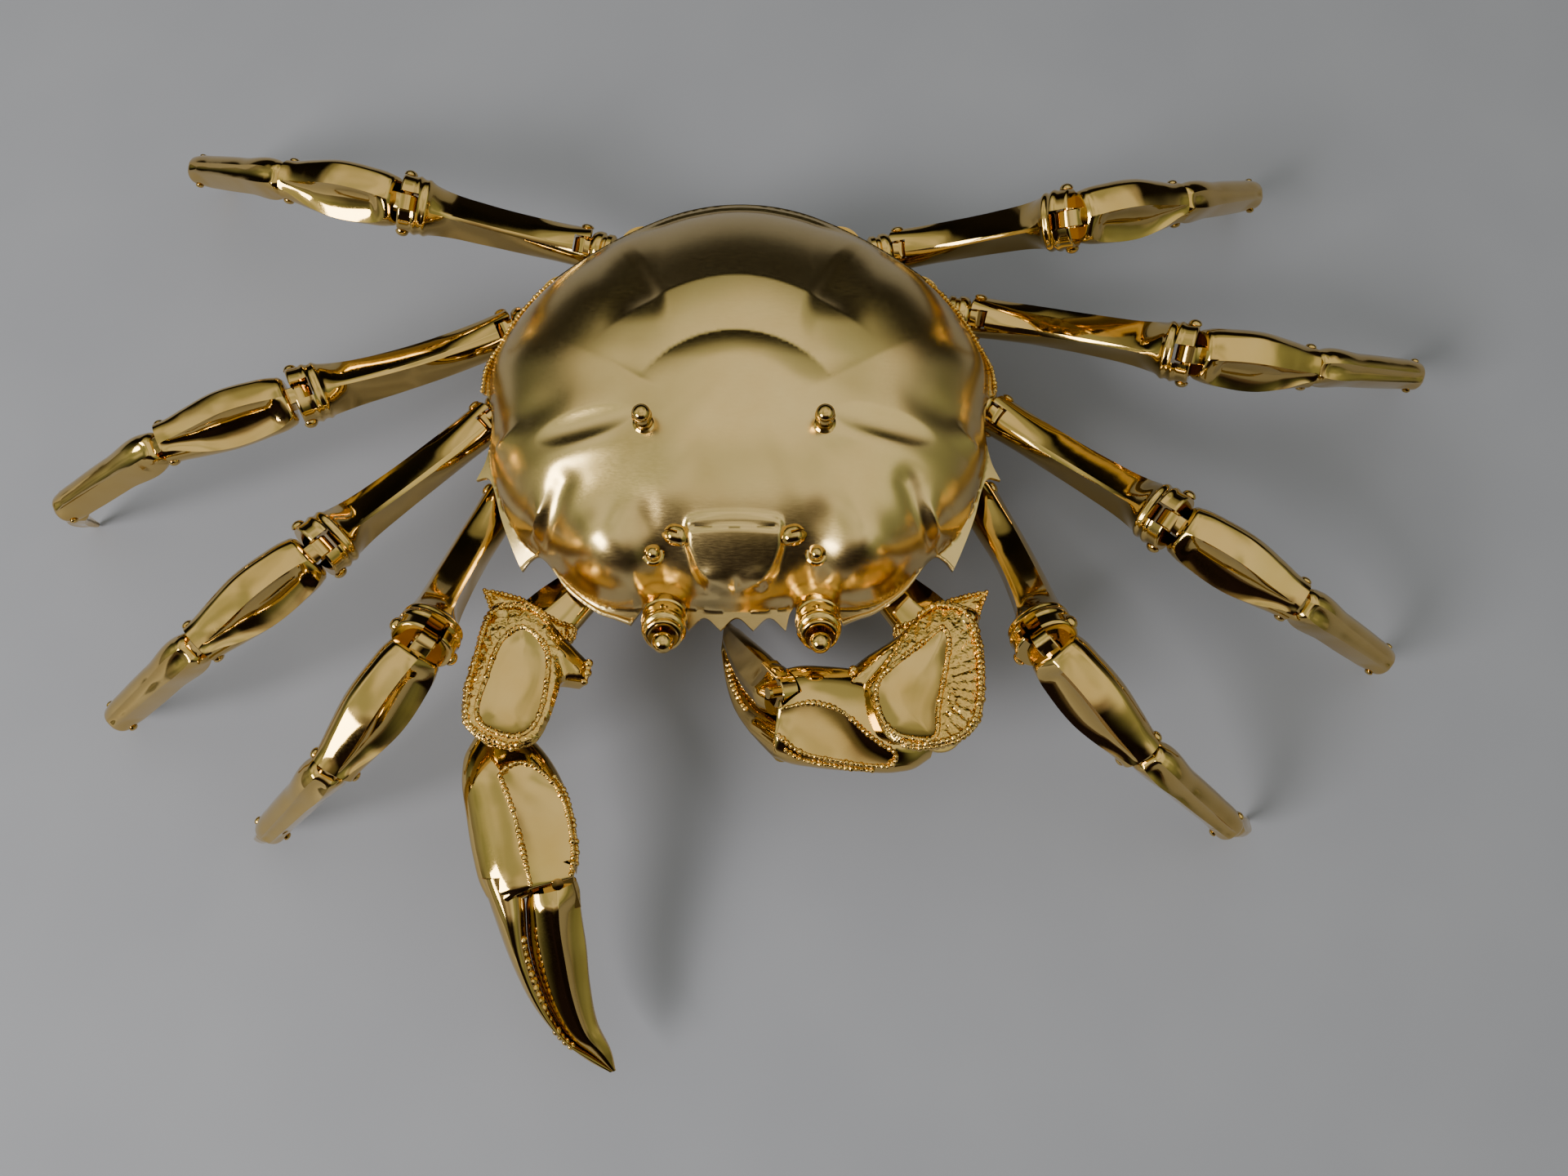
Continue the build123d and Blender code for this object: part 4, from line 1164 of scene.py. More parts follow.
def settle(piece: bpy.types.Object, body: str, slot: str, *nodes: str) -> None:
    """Gives a piece its body and hides the CAD nodes it stands for.

    Args:
        piece: the finished piece.
        body: the CAD body it rides on.
        slot: its material slot; not used.
        nodes: CAD nodes it replaces.
    """
    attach(piece, body)
    if nodes:
        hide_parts(*nodes)
    log.info("%s rides on %s", piece.name, body)


# ---------------------------------------------------------------- limbs


def pin(half: float, radius: float, head: float) -> Skin:
    """A hinge pin along y with domed heads.

    Args:
        half: half its length without the heads.
        radius: the pin's radius.
        head: how far a head stands out.

    Returns:
        Points and faces.
    """
    curve = ((1.0, 0.12), (0.92, 0.42), (0.7, 0.72), (0.36, 0.93), (0, 1))
    dome = [(half + head * s, radius * 1.25 * c) for s, c in curve]
    profile = [(-x, r) for x, r in dome] + [(-half + 0.3, radius), (half - 0.3, radius)] + dome[::-1]
    return swapped(lathe(profile, 28), 1, 0, 2)


@dataclass(frozen=True)
class HingeFit:
    """How a hinge looks: its fork's slot and depth, its tongue's radius and half thickness, its pin's radius."""

    slot: float
    depth: float
    eye: float
    half: float
    pin: float

    def fork(self, start: float, end: float, low: float, high: float) -> Skin:
        """The room between a fork's cheeks from start to end along x and from low to high, to be cut out."""
        return box((start, -self.slot / 2, low), (end, self.slot / 2, high))

    def tongue(self, reach: float) -> Skin:
        """The tongue that fits the fork, with a shank of this reach."""
        return tongue(reach, self.eye, self.half)


KNEE = HingeFit(5.6, 3.9, 3.5, 2.5, 1.6)
HIP = HingeFit(5.6, 3.7, 3.3, 2.5, 1.6)
ANKLE = HingeFit(5.1, 3.4, 3.0, 2.3, 1.3)
TIP = HingeFit(4.0, 3.6, 3.0, 1.7, 1.0)

# where the flat rear face of each long leg piece ends, so that it leans to the dark side of the room
REAR_FACE_END = {
    Side.LEFT: {Pair.REAR: 185, Pair.THIRD: 167, Pair.SECOND: 181, Pair.FRONT: 150},
    Side.RIGHT: {Pair.REAR: 181, Pair.THIRD: 190, Pair.SECOND: 179, Pair.FRONT: 155},
}


def coxa_form(length: float, waist: Stations) -> tuple[Skin, Skin, Skin]:
    """The parts of the short piece between the body and a limb.

    Args:
        length: millimetres between its two hinges.
        waist: rows of (x, radius) between the barrel's two swellings.

    Returns:
        The barrel, the outer tongue and the flat root on the hip pin.
    """
    barrel = lathe([
        (9.6, 2.6), (10.0, 4.6), (10.8, 5.5), *waist, (13.8, 5.7), (15.0, 5.9), (16.2, 5.6), (17.0, 5.0), (17.4, 4.2),
        (17.5, 2.0),
    ])
    points, faces = HIP.tongue(7.0)
    outer = flipped(points * np.array([-1, 1, 1]) + np.array([length, 0, 0]), faces)
    return barrel, outer, swapped(tongue(11.5, 3.5, 2.2), 0, 2, 1)


@dataclass
class Leg:
    """One walking leg: coxa, merus, carpus, propodus and dactyl with their hinges."""

    side: Side
    pair: Pair
    places: dict[str, Place]
    finishes: Finishes

    def span(self, a: str, b: str) -> float:
        """Millimetres between two hinges."""
        return float(np.linalg.norm(self.places[b].origin - self.places[a].origin)) / MM

    def put(self, part: str, skin: Skin) -> None:
        """Places a finished part.

        Args:
            part: its name on the leg.
            skin: points in millimetres in the part's own frame, front towards -y.
        """
        name = f"{self.side.value}_{self.pair.value}_leg_{part}"
        points, faces = skin if self.side is Side.RIGHT else mirrored(skin)
        piece = new_object(name + "_visual", (self.places[part].out(points), faces), self.finishes.limb)
        settle(piece, name, "leg_brass", name)

    def build(self) -> None:
        """Makes the five parts."""
        self.coxa()
        self.merus()
        self.carpus()
        self.propodus()
        self.dactyl()

    def coxa(self) -> None:
        """The short ringed barrel between the body and the hip."""
        waist = [(12.2, 5.5), (12.7, 5.0), (13.3, 5.0)]
        barrel, outer, root = coxa_form(self.span("coxa", "merus"), waist)
        lean = self.places["coxa"].axes
        standing = np.array([lean[0], np.cross([0, 0, 1.0], lean[0]), [0, 0, 1.0]])
        root = root[0] @ standing @ lean.T * np.array([1, self.side.sign, 1]), root[1]
        self.put("coxa", joined([barrel, outer, root]))

    def merus(self) -> None:
        """The long sagging piece that flares to a ringed cup at the knee."""
        n = self.span("merus", "carpus")
        x = np.concatenate([
            [-1.6, -1.55, -1.4, -1.1], np.linspace(-0.6, n - 11, 42), np.linspace(n - 10.4, n + 1.0, 36),
            [n + 1.3, n + 1.5, n + 1.6],
        ])
        stations = [
            (-1.6, 0, 0, 12.8, 6.1, 6.1), (0.12 * n, 0, -2.4, 12.2, 6.0, 6.0), (0.3 * n, 0, -4.6, 12.2, 6.1, 6.1),
            (0.55 * n, 0, -5.0, 12.6, 6.2, 6.2), (0.8 * n, 0, -2.5, 14.2, 6.6, 6.5), (n - 6, 0, -0.5, 16.2, 7.0, 6.9),
            (n + 1.6, 0, 0, 17.4, 7.3, 7.3),
        ]

        def rings(s: np.ndarray) -> np.ndarray:
            """The two raised rings of the cup and the softened rims."""
            edge = np.clip(np.abs(s - n / 2) - (n / 2 + 0.9), 0, 0.7) / 0.7
            return 0.5 * bump(s, n - 3.4, 0.8) + 0.5 * bump(s, n - 6.2, 0.8) - 0.55 * edge**2

        fade = [(n - 13, 0.85), (n - 8.5, 0.25), (n - 7, 0), (n + 2, 0)]
        face = Facet(
            [(-2, -14), (n / 2, -18), (n + 2, -10)], [(-2, 60), (n * 0.3, 68), (n * 0.7, 74), (n + 2, 78)],
            [(-2, 0.0), (n * 0.2, 0.25), (n * 0.45, 0.8), *fade], 0.35,
        )
        rear_end = REAR_FACE_END[self.side][self.pair]
        rear = Facet(
            [(-2, 83), (n + 2, 83)], [(-2, rear_end), (n + 2, rear_end)],
            [(-2, 0.0), (n * 0.12, 0.5), (n * 0.25, 0.85), (n - 13, 0.85), (n - 8.5, 0.2), (n - 7, 0), (n + 2, 0)],
            -0.25,
        )
        cuts = [KNEE.fork(n - KNEE.depth, n + 8, -14, 14), HIP.fork(-8, HIP.depth, -14, 14)]
        body = carve(limb_skin(x, stations, [face, rear], 2.3, rings), cuts)
        knee_pin = moved(pin(8.5, KNEE.pin, 1.5), n, 0, 0)
        self.put("merus", joined([body, knee_pin, pin(6.2, HIP.pin, 1.0)]))

    def carpus(self) -> None:
        """The almond piece with a hollow front face and a flat upper panel."""
        n = self.span("carpus", "propodus")
        x = np.concatenate([
            [2.9, 3.0, 3.2, 3.6, 4.1, 4.8], np.linspace(5.4, n - 3, 36), np.linspace(n - 2.4, n + 0.6, 8),
            [n + 0.95, n + 1.2],
        ])
        stations = [
            (2.9, 0, 0, 12.2, 4.9, 4.9), (3.6, 0, 0, 14.2, 5.9, 5.9), (4.8, 0, 0, 15.1, 6.4, 6.4),
            (0.32 * n, 0, 1.2, 17.2, 7.0, 6.9), (0.55 * n, 0, 1.7, 17.6, 7.3, 7.1), (0.8 * n, 0, 0.8, 14.8, 6.4, 6.2),
            (n - 1.5, 0, 0.1, 12.6, 5.7, 5.4), (n + 1.2, 0, 0, 12.2, 5.6, 5.3),
        ]
        crest = [(2, 84), (9, 90), (0.5 * n, 92), (0.8 * n, 86), (n + 1.2, 80)]
        hollow = Facet(
            [(2, 44), (8, 20), (0.45 * n, 8), (0.75 * n, 22), (n - 1, 52), (n + 1.2, 56)], crest,
            [(2, 0), (5, 0.35), (9, 1), (0.75 * n, 1), (n - 4, 0.7), (n, 0.2), (n + 1.2, 0)], 1.5,
        )
        panel = Facet(
            crest, [(2, 138), (0.5 * n, 142), (n + 1.2, 128)],
            [(2, 0.2), (7, 0.75), (n - 3, 0.75), (n + 1.2, 0.5)], -0.25,
        )
        body = carve(limb_skin(x, stations, [hollow, panel]), [ANKLE.fork(n - ANKLE.depth, n + 6, -12, 3.9)])
        self.put("carpus", joined([body, KNEE.tongue(9.0), moved(pin(6.1, ANKLE.pin, 1.0), n, 0, 0)]))

    def propodus(self) -> None:
        """The slender rod with a ridge and a groove along it."""
        n = self.span("propodus", "dactyl")
        end = 3.4  # how far the round end passes the tip's hinge
        x = np.concatenate([
            [2.9, 3.0, 3.2, 3.6, 4.3], np.linspace(5.2, n - 1.0, 40),
            n + end * np.sin(np.radians(np.linspace(0, 84, 9))),
        ])
        stations = [
            (2.9, 0, 0, 7.8, 3.4, 3.4), (3.6, 0, 0, 9.6, 4.4, 4.3), (5.2, 0, 0, 10.9, 5.0, 4.9),
            (0.45 * n, 0, 0.5, 11.0, 5.2, 5.0), (0.8 * n, 0, 0.2, 10.4, 4.9, 4.7),
        ]
        for degrees in (0, 20, 40, 55, 68, 78, 84):
            turn, blunt = math.radians(degrees), math.radians(degrees * 0.82)
            tall = 4.5 * math.cos(turn)
            stations.append((n + end * math.sin(turn), 0, 0, 9.4 * math.cos(blunt), tall, tall))
        ridge = [(2, 66), (n / 2, 70), (n + 4, 74)]
        front = Facet([(2, -20), (n + 4, -20)], ridge, [(2, 0), (6, 0.7), (n - 3, 0.7), (n + 2, 0), (n + 4, 0)], -0.2)
        gutter = Facet(
            ridge, [(2, 116), (n / 2, 112), (n + 4, 108)],
            [(2, 0), (6, 1), (n - 2, 1), (n + 2.5, 0), (n + 4, 0)], 0.7,
        )
        body = carve(limb_skin(x, stations, [front, gutter]), [TIP.fork(n - TIP.depth, n + 7, -12, 3.3)])
        self.put("propodus", joined([body, ANKLE.tongue(8.0), moved(pin(4.7, TIP.pin, 0.8), n, 0, 0)]))

    def dactyl(self) -> None:
        """The curved pointed tip that stands on the table."""
        x = np.concatenate([[5.2, 5.25, 5.5, 6.0], np.linspace(7, 29.5, 34), [30.0, 30.4, 30.7, 30.9, 31.0]])
        stations = [
            (5.2, 0, 0, 6.4, 3.0, 3.0), (6.0, 0, 0, 7.4, 3.5, 3.5), (11, 0, 1.0, 7.0, 3.5, 3.4),
            (16, 0, 1.7, 6.0, 3.1, 3.1), (23, 0, 1.4, 4.4, 2.3, 2.3), (28.5, 0, 0.4, 2.6, 1.3, 1.3),
            (30.4, 0, 0.05, 1.7, 0.85, 0.85), (31.0, 0, 0, 0.7, 0.35, 0.35),
        ]
        strength = [(5, 0), (8, 0.7), (27, 0.6), (31, 0)]
        front = Facet([(5, -25), (31, -25)], [(5, 62), (31, 62)], strength, 0.35)
        back = Facet([(5, 118), (31, 118)], [(5, 205), (31, 205)], strength, 0.35)
        body = limb_skin(x, stations, [front, back], 2.1, across=12)
        self.put("dactyl", joined([body, TIP.tongue(7.5)]))


# ---------------------------------------------------------------- body parts


@dataclass
class Eyes:
    """Two stepped barrels under the front edge of the shell, each with a polished ball."""

    half_gap: float = 22.94
    front: float = -12.84
    height: float = 45.0
    rise: float = 42.0
    splay: float = 2.0
    left_splay: float = -3.0  # the photograph's left barrel points outwards
    left_shift: float = 2.4

    def place(self, side: Side) -> Place:
        """The frame of one eye, x along the barrel."""
        reach = math.cos(math.radians(self.rise))
        splay, shift = (self.splay, 0.0) if side is Side.RIGHT else (self.left_splay, self.left_shift)
        x = np.array([
            side.sign * reach * math.sin(math.radians(splay)), -reach * math.cos(math.radians(splay)),
            math.sin(math.radians(self.rise)),
        ])
        y = unit(np.cross([0, 0, 1.0], x))
        middle_x, middle_y = SHELL_CENTRE
        foot = np.array([middle_x + side.sign * self.half_gap + shift, middle_y + self.front, self.height]) * MM
        return Place(foot, np.array([x, y, np.cross(x, y)]))

    def build(self, finishes: Finishes) -> None:
        """Makes the barrels and the balls."""
        barrel = lathe([
            (0, 3.0), (0.1, 6.1), (0.7, 6.4), (7.2, 6.4), (7.6, 6.0), (8.1, 6.0), (8.5, 6.5), (10.4, 6.5), (11.0, 6.1),
            (11.6, 6.0), (12.0, 6.3), (13.6, 6.3), (14.2, 5.9), (14.5, 5.2), (14.7, 5.1), (15.4, 5.3), (16.2, 5.2),
            (16.5, 4.8), (16.5, 4.2), (16.1, 3.7), (15.6, 2.4),
        ], 56)
        ball = lathe([(19.1 - 3.15 * math.cos(a), 3.15 * math.sin(a)) for a in np.radians(np.linspace(4, 176, 25))])
        places = [self.place(side) for side in Side]
        barrels, balls = ([(place.out(points), faces) for place in places] for points, faces in (barrel, ball))
        settle(new_object("eye_barrels", joined(barrels), finishes.pin, 38), "body", "stud_brass", "eye_stalks")
        settle(new_object("eye_balls", joined(balls), finishes.limb), "body", "stud_brass", "eyeballs")


@dataclass
class Studs:
    """Pegs with ball tops, ball rivets and pinched lugs on the shell."""

    shell: Shell

    def foot(self, x: float, y: float) -> np.ndarray:
        """The point of the shell's upper face over (x, y)."""
        z = float(self.shell.top(np.array([[x, y]]))[0])
        return np.array([x + SHELL_CENTRE[0], y + SHELL_CENTRE[1], z])

    def build(self, finishes: Finishes) -> None:
        """Makes all six studs as one piece."""
        peg = lathe([
            (-2.5, 2.0), (-2.4, 2.9), (0.1, 3.1), (0.5, 2.5), (1.0, 2.35), (4.2, 2.3), (4.7, 2.6), (5.2, 2.75),
            (5.7, 2.5), (6.0, 2.3), (6.5, 2.55), (7.3, 2.5), (8.0, 2.1), (8.5, 1.4), (8.75, 0.5),
        ], 36)
        angles = np.radians(np.linspace(5, 175, 17))
        ball = lathe([(-2.1 * math.cos(a) + 1.0, 2.1 * math.sin(a)) for a in angles], 28)
        collar = lathe([(-1.6, 2.0), (-1.5, 3.1), (0.25, 3.1), (0.55, 2.7), (0.5, 2.1), (-0.2, 1.6)], 28)
        skins = []
        for s in (-1, 1):
            for form, x, y in ((peg, 24.5, 29.9), (ball, 22.4, -3.6), (collar, 22.4, -3.6)):
                skins.append(moved(upright(form), *self.foot(s * x, y)))
            skins.append(self.lug(s))
        points, faces = joined(skins)
        piece = new_object("shell_studs", (points * MM, faces), finishes.limb, 38)
        settle(piece, "body", "stud_brass", "carapace_studs")

    def lug(self, s: int) -> Skin:
        """A pinched cone with a slit, beside the mask.

        Args:
            s: +1 on the right, -1 on the left.

        Returns:
            Points in millimetres and faces.
        """
        x = np.concatenate([[-4.2, -4.0, -3.2], np.linspace(-2, 2.6, 10), [3.4, 3.9, 4.1]])
        stations = [
            (-4.2, 0, -0.6, 1.2, 0.5, 1.5), (-3.0, 0, -0.2, 4.0, 1.7, 2), (0, 0, 0, 6.2, 3.0, 2.4),
            (2.4, 0, 0, 5.4, 2.7, 2.2), (4.1, 0, -0.2, 2.4, 0.9, 1.2),
        ]
        body = carve(limb_skin(x, stations, (), 2.1), [box((-0.2, -0.45, 0.6), (6, 0.45, 8))])
        turn = math.radians(12 if s > 0 else 168)
        c, d = math.cos(turn), math.sin(turn)
        points = body[0] @ np.array([[c, d, 0], [-d, c, 0], [0, 0, 1.0]])
        return points + self.foot(s * 15.6, 1.0) - [0, 0, 0.4], body[1]


# ---------------------------------------------------------------- claws


def section_line(x: np.ndarray, stations: Stations, track: Stations) -> np.ndarray:
    """A line along a limb at one angle of its sections, just out of its surface.

    Args:
        x: the positions along the limb.
        stations: the limb's stations.
        track: stations of (x, angle).

    Returns:
        Rows of (x, y, z).
    """
    lift = 0.1
    body, angle = smooth(stations, x), smooth(track, x)[:, 0]
    rows = []
    for k, (dy, dz, width, above, below) in enumerate(body):
        yz = rounded(np.array([angle[k]]), width / 2 + lift, above + lift, below + lift, 2.2)[0]
        rows.append((x[k], yz[0] + dy, yz[1] + dz))
    return np.array(rows)


@dataclass(frozen=True)
class ClawForm:
    """What differs from one claw to the other, drawn with the inner side towards +y.

    Args:
        plan: outline of the dished middle piece.
        dish: outline of its hollow face.
        crest: angle of the hand's panel edge along its back, by place along the hand.
        edge: angle of the panel's other edge.
        reach: length of the fingers.
        hook: how far their tips turn inwards.
        sag: how far their tips drop.
        shoulder: whether the hand runs on smoothly into the fixed finger.
    """

    plan: Stations
    dish: Stations
    crest: Stations
    edge: Stations
    reach: float
    hook: float
    sag: float
    shoulder: bool


CLAW_FORMS = {
    Side.LEFT: ClawForm(
        (
            (-6, 3), (-5, -5.5), (-1, -8.8), (11, -9.4), (20, -9.6), (26, -8.8), (31, -6.5), (34, 0), (34.6, 7),
            (32, 12.2), (25.4, 14.4), (17.3, 15.2), (13.4, 15.6), (12.6, 22.4, 1), (9.8, 21.4), (6.8, 22, 1),
            (1.7, 14.7), (-2.5, 9),
        ),
        (
            (1, 1.6), (3, 6.6), (7.2, 10.2), (14.2, 11.6), (22, 12.0), (28.4, 10.6), (31.6, 6.4), (30, -2.4),
            (26, -5.0), (17, -4.6), (10, -4.0), (5, -2.6),
        ),
        ((1, 84), (13, 83), (28, 88), (38, 90), (45.5, 91)),
        ((1, 118), (13, 126), (20, 144), (28, 152), (38, 152), (45.5, 149)),
        reach=60.0, hook=9.5, sag=0.0, shoulder=True,
    ),
    Side.RIGHT: ClawForm(
        (
            (-6, 3), (-5, -5), (2, -9), (10, -11), (20, -12), (28, -11), (33, -6.5), (35.6, 0), (36.4, 6), (34, 12.6),
            (26, 17.6), (21.6, 19.6), (21.4, 25.2, 1), (14, 24.2), (5, 14.2), (-1, 9),
        ),
        (
            (2, 1), (6.5, 5.4), (13, 11.6), (19.5, 16.4), (26, 15.8), (32.4, 11.6), (34.2, 6), (33.2, -0.6),
            (25, -0.6), (12, -1.4), (5, -1.2),
        ),
        ((1, 60), (14, 62), (20, 74), (28, 95), (36, 102), (45.5, 92)),
        ((1, 30), (14, 34), (20, 33), (28, 37), (38, 44), (45.5, 62)),
        reach=50.0, hook=3.0, sag=-8.0, shoulder=False,
    ),
}


@dataclass
class Claw:
    """One claw: coxa, arm, dished middle piece, hand with the fixed finger, and moving finger.

    Forms are drawn for the left claw, whose inner side is +y, and mirrored for the right one.
    """

    side: Side
    places: dict[str, Place]
    finishes: Finishes
    beads: BeadRow
    form: ClawForm

    PALM: ClassVar[Stations] = (
        (1, -1.4, -1.2, 13.5, 3.8, 4.6), (5, -1.9, -0.8, 19, 5.4, 5.8), (10, -1.4, 0, 23.4, 6.8, 6.6),
        (22, -0.2, 0.3, 28, 8.2, 7.6), (33, -0.3, 0.6, 28.4, 8.7, 8.0), (41, -0.5, 0.8, 27, 8.3, 7.6),
        (45.2, -0.6, 0.9, 24.6, 7.6, 7.0), (45.5, -0.6, 0.9, 24.5, 7.6, 7.0),
    )
    ARM: ClassVar[Stations] = (
        (21.2, -9.4), (23, -4), (24.6, 2), (26, 8), (28.6, 12.2), (32.0, 16.9, 1), (34.0, 12.2), (36.4, 8),
        (38.6, 1.4), (37.5, -5), (33, -9.5), (26.6, -11.0),
    )

    @property
    def flip(self) -> np.ndarray:
        """What turns forms drawn for the left claw to this side."""
        return np.array([1, -self.side.sign, 1])

    @property
    def panel_inside(self) -> bool:
        """Whether the hand's panel lies on the inner side of its back."""
        return self.form.edge[3][1] > 90

    def put(
        self, part: str, frame: str, skin: Skin, hammered: Sequence[bool] = (), crisp: float = CRISP,
    ) -> None:
        """Places a finished part.

        Args:
            part: its name on the claw.
            frame: the frame it is drawn in.
            skin: points in millimetres.
            hammered: which of the first faces have the cast finish.
            crisp: the crisp edge angle.
        """
        name = f"{self.side.value}_claw_{part}"
        points, faces = skin if self.side is Side.LEFT else mirrored(skin)
        placed = self.places[frame].out(points), faces
        piece = new_object(name + "_visual", placed, self.finishes.limb, crisp, self.finishes.cast, hammered)
        settle(piece, name, "claw_brass", name)

    def row(
        self, label: str, part: str, frame: str, lines: Sequence[np.ndarray], spacing: float, radius: float,
        wire: float,
    ) -> None:
        """Lays beads on a part.

        Args:
            label: the row's name.
            part: the part it rides on.
            frame: the frame it is drawn in.
            lines: rows of points in millimetres.
            spacing: distance between beads.
            radius: their radius.
            wire: radius of the seam under them.
        """
        placed = [self.places[frame].out(line * self.flip) for line in lines]
        claw = f"{self.side.value}_claw_"
        beads = self.beads.lay(claw + label, placed, self.finishes.cast, spacing, radius, 0.3, wire)
        settle(beads, claw + part, "claw_brass")

    def build(self) -> None:
        """Makes the five parts and their beading."""
        self.coxa()
        self.arm()
        self.middle()
        self.hand()
        self.finger()

    def coxa(self) -> None:
        """The short barrel between the body and the arm."""
        length = float(np.linalg.norm(self.places["merus"].origin - self.places["coxa"].origin)) / MM
        self.put("coxa", "coxa", joined(coxa_form(length, [(12.2, 5.6)])))

    def arm(self) -> None:
        """The upper arm: a rounded shank that ends in a pointed, hammered plate with beaded edges."""
        x = np.concatenate([[-1.6, -1.55, -1.3, -0.8], np.linspace(0, 30, 30), [32, 34, 36, 37.5, 38.4, 38.8]])
        stations = [
            (-1.6, 0, 0, 12.4, 6.0, 6.0), (0, 0, 0, 12.8, 6.2, 6.1), (12, 0, -0.9, 14.6, 5.4, 6.4),
            (22, 0, -1.4, 17, 5.0, 5.6), (33, 0, -1.2, 14.6, 4.8, 5.2), (36.5, 0, -1.2, 10, 4.2, 4.2),
            (38.8, 0, -1.2, 3, 2, 2),
        ]
        face = Facet([(-2, 18), (39, 18)], [(-2, 84), (39, 84)], [(-2, 0), (8, 0.7), (22, 0.8), (30, 0), (39, 0)], 0.4)
        shank = carve(limb_skin(x, stations, [face]), [HIP.fork(-8, HIP.depth, -14, 14)])
        plan = (curved(self.ARM, 0.9, closed=True) * np.array([1, -1]))[::-1]
        ring = np.concatenate([plan, plan[:1]])

        def top(p: np.ndarray) -> np.ndarray:
            """Low towards the elbow, rising to the point, with ribs along the free edge."""
            free = ramp(np.hypot(p[:, 0] - 33, p[:, 1]), 11.5, 15.5)
            edge = distance(p, ring)
            ribs = 0.45 * np.abs(np.sin(np.arctan2(-p[:, 1] + 4, p[:, 0] - 25) * 14)) * bump(edge, 2.6, 1.7)
            return 4.6 + free * (1.5 + ribs) - 0.8 * (1 - ramp(edge, 0, 1.4)) - 0.9 * free * bump(edge, 4.4, 1.4)

        def under(p: np.ndarray) -> np.ndarray:
            """The underside, thinner towards the edge."""
            return -0.2 - 2.6 * ramp(distance(p, ring), 0, 6)

        plate = Relief(plan, 0.8).skin(top, under)
        self.put("merus", "merus", joined([plate, shank, pin(6.2, HIP.pin, 1.0)]), [True] * len(plate[1]))
        x, y = plan.T
        left, tip = (
            line[np.argsort(line[:, 1])]
            for line in (
                plan[(x < 32.4) & ((y < -9) | (x < 29)) & ((x < 29.5) | (y < -15))], plan[(x > 32.2) & (y < -8)],
            )
        )
        rows = [
            np.column_stack([left, top(left) + 0.3]), np.column_stack([left + [-0.3, 0], top(left) - 1.6]),
            np.column_stack([tip, top(tip) + 0.2]),
        ]
        self.row("arm_beads", "merus", "merus", rows, 1.25, 0.72, 0.45)

    def middle(self) -> None:
        """The dished middle piece with its rope rim and faceted spur."""
        plan = curved(self.form.plan, 0.9, closed=True)
        dish = curved(self.form.dish, 0.9, closed=True)
        loop = np.concatenate([dish, dish[:1]])
        ring = np.concatenate([plan, plan[:1]])
        centre = dish.mean(0)
        point = plan[np.argmax(plan[:, 1])]
        face_z, under_z = 15.0, 5.3

        def top(p: np.ndarray) -> np.ndarray:
            """Hollow mirror face inside the rim, ribbed sloping shoulders and a ridged spur outside it."""
            away, edge = distance(p, loop), distance(p, ring)
            swell = 0.6 * bump(p[:, 0], centre[0] - 4, 6) * bump(p[:, 1], centre[1], 5)
            hollow = -1.7 * (1 - (1 - np.minimum(away / 8.0, 1)) ** 2) + swell
            low, high = (np.interp(p[:, 0], [0, 14, 24], ends) for ends in ([8, 14, 20], [11, 17, 23]))
            spur = ramp(p[:, 1], low, high)
            crest, _ = segment(p[:, 0], p[:, 1], (1.0, 7.0), (point[0], point[1]))
            ribs = 0.55 * np.abs(np.sin(np.arctan2(p[:, 1] - centre[1], p[:, 0] - centre[0]) * 17)) * (1 - spur)
            out = -0.22 * away - 0.55 * spur * crest - 1.4 * (1 - ramp(edge, 0, 1.2)) + ribs * ramp(away, 0.8, 2.0)
            return face_z + np.where(within(dish, p), hollow, out)

        points, faces = Relief(plan, 0.8, [loop]).skin(top, lambda p: np.full(len(p), under_z))
        low = points[:, 2] < under_z + 0.1
        points[low, :2] = centre + (points[low, :2] - centre) * 0.86
        knob = lathe([(-6, 2.0), (-5.9, 3.0), (-1, 3.3), (0.4, 3.0), (1.4, 2.2), (1.9, 0.8)], 24)
        knob = moved(upright(knob), -2.6, -5.4, 12.8)
        middles = np.array([points[list(f), :2].mean(0) for f in faces])
        hammered = [
            bool(np.ptp(points[list(f), 2]) < 4 and points[f[0], 2] > 11 and points[f[0], 1] < 13 and not inside)
            for f, inside in zip(faces, within(dish, middles))
        ]
        self.put("carpus", "carpus", joined([(points, faces), knob]), hammered, 34)
        rim = np.column_stack([loop, np.full(len(loop), face_z + 0.1)])
        brow = plan[plan[:, 1] < 8.0]
        brow = brow[np.argsort(np.arctan2(-brow[:, 1] + 8, brow[:, 0] - 14))]
        rows = [
            np.column_stack([centre + (brow - centre) * share, np.full(len(brow), z)])
            for share, z in ((0.965, 11.6), (0.99, 13.2), (0.95, 14.5))
        ]
        self.row("dish_rim_beads", "carpus", "carpus", [rim], 1.35, 0.82, 0.7)
        self.row("side_beads", "carpus", "carpus", rows, 1.5, 0.85, 0.6)
        lobes = np.column_stack([point + [[-5.5, -1.0], [-2.8, -0.8], [-0.2, -1.2]], [11.6, 11.2, 11.0]])
        self.row("spur_beads", "carpus", "carpus", [lobes], 2.4, 1.5, 0.8)

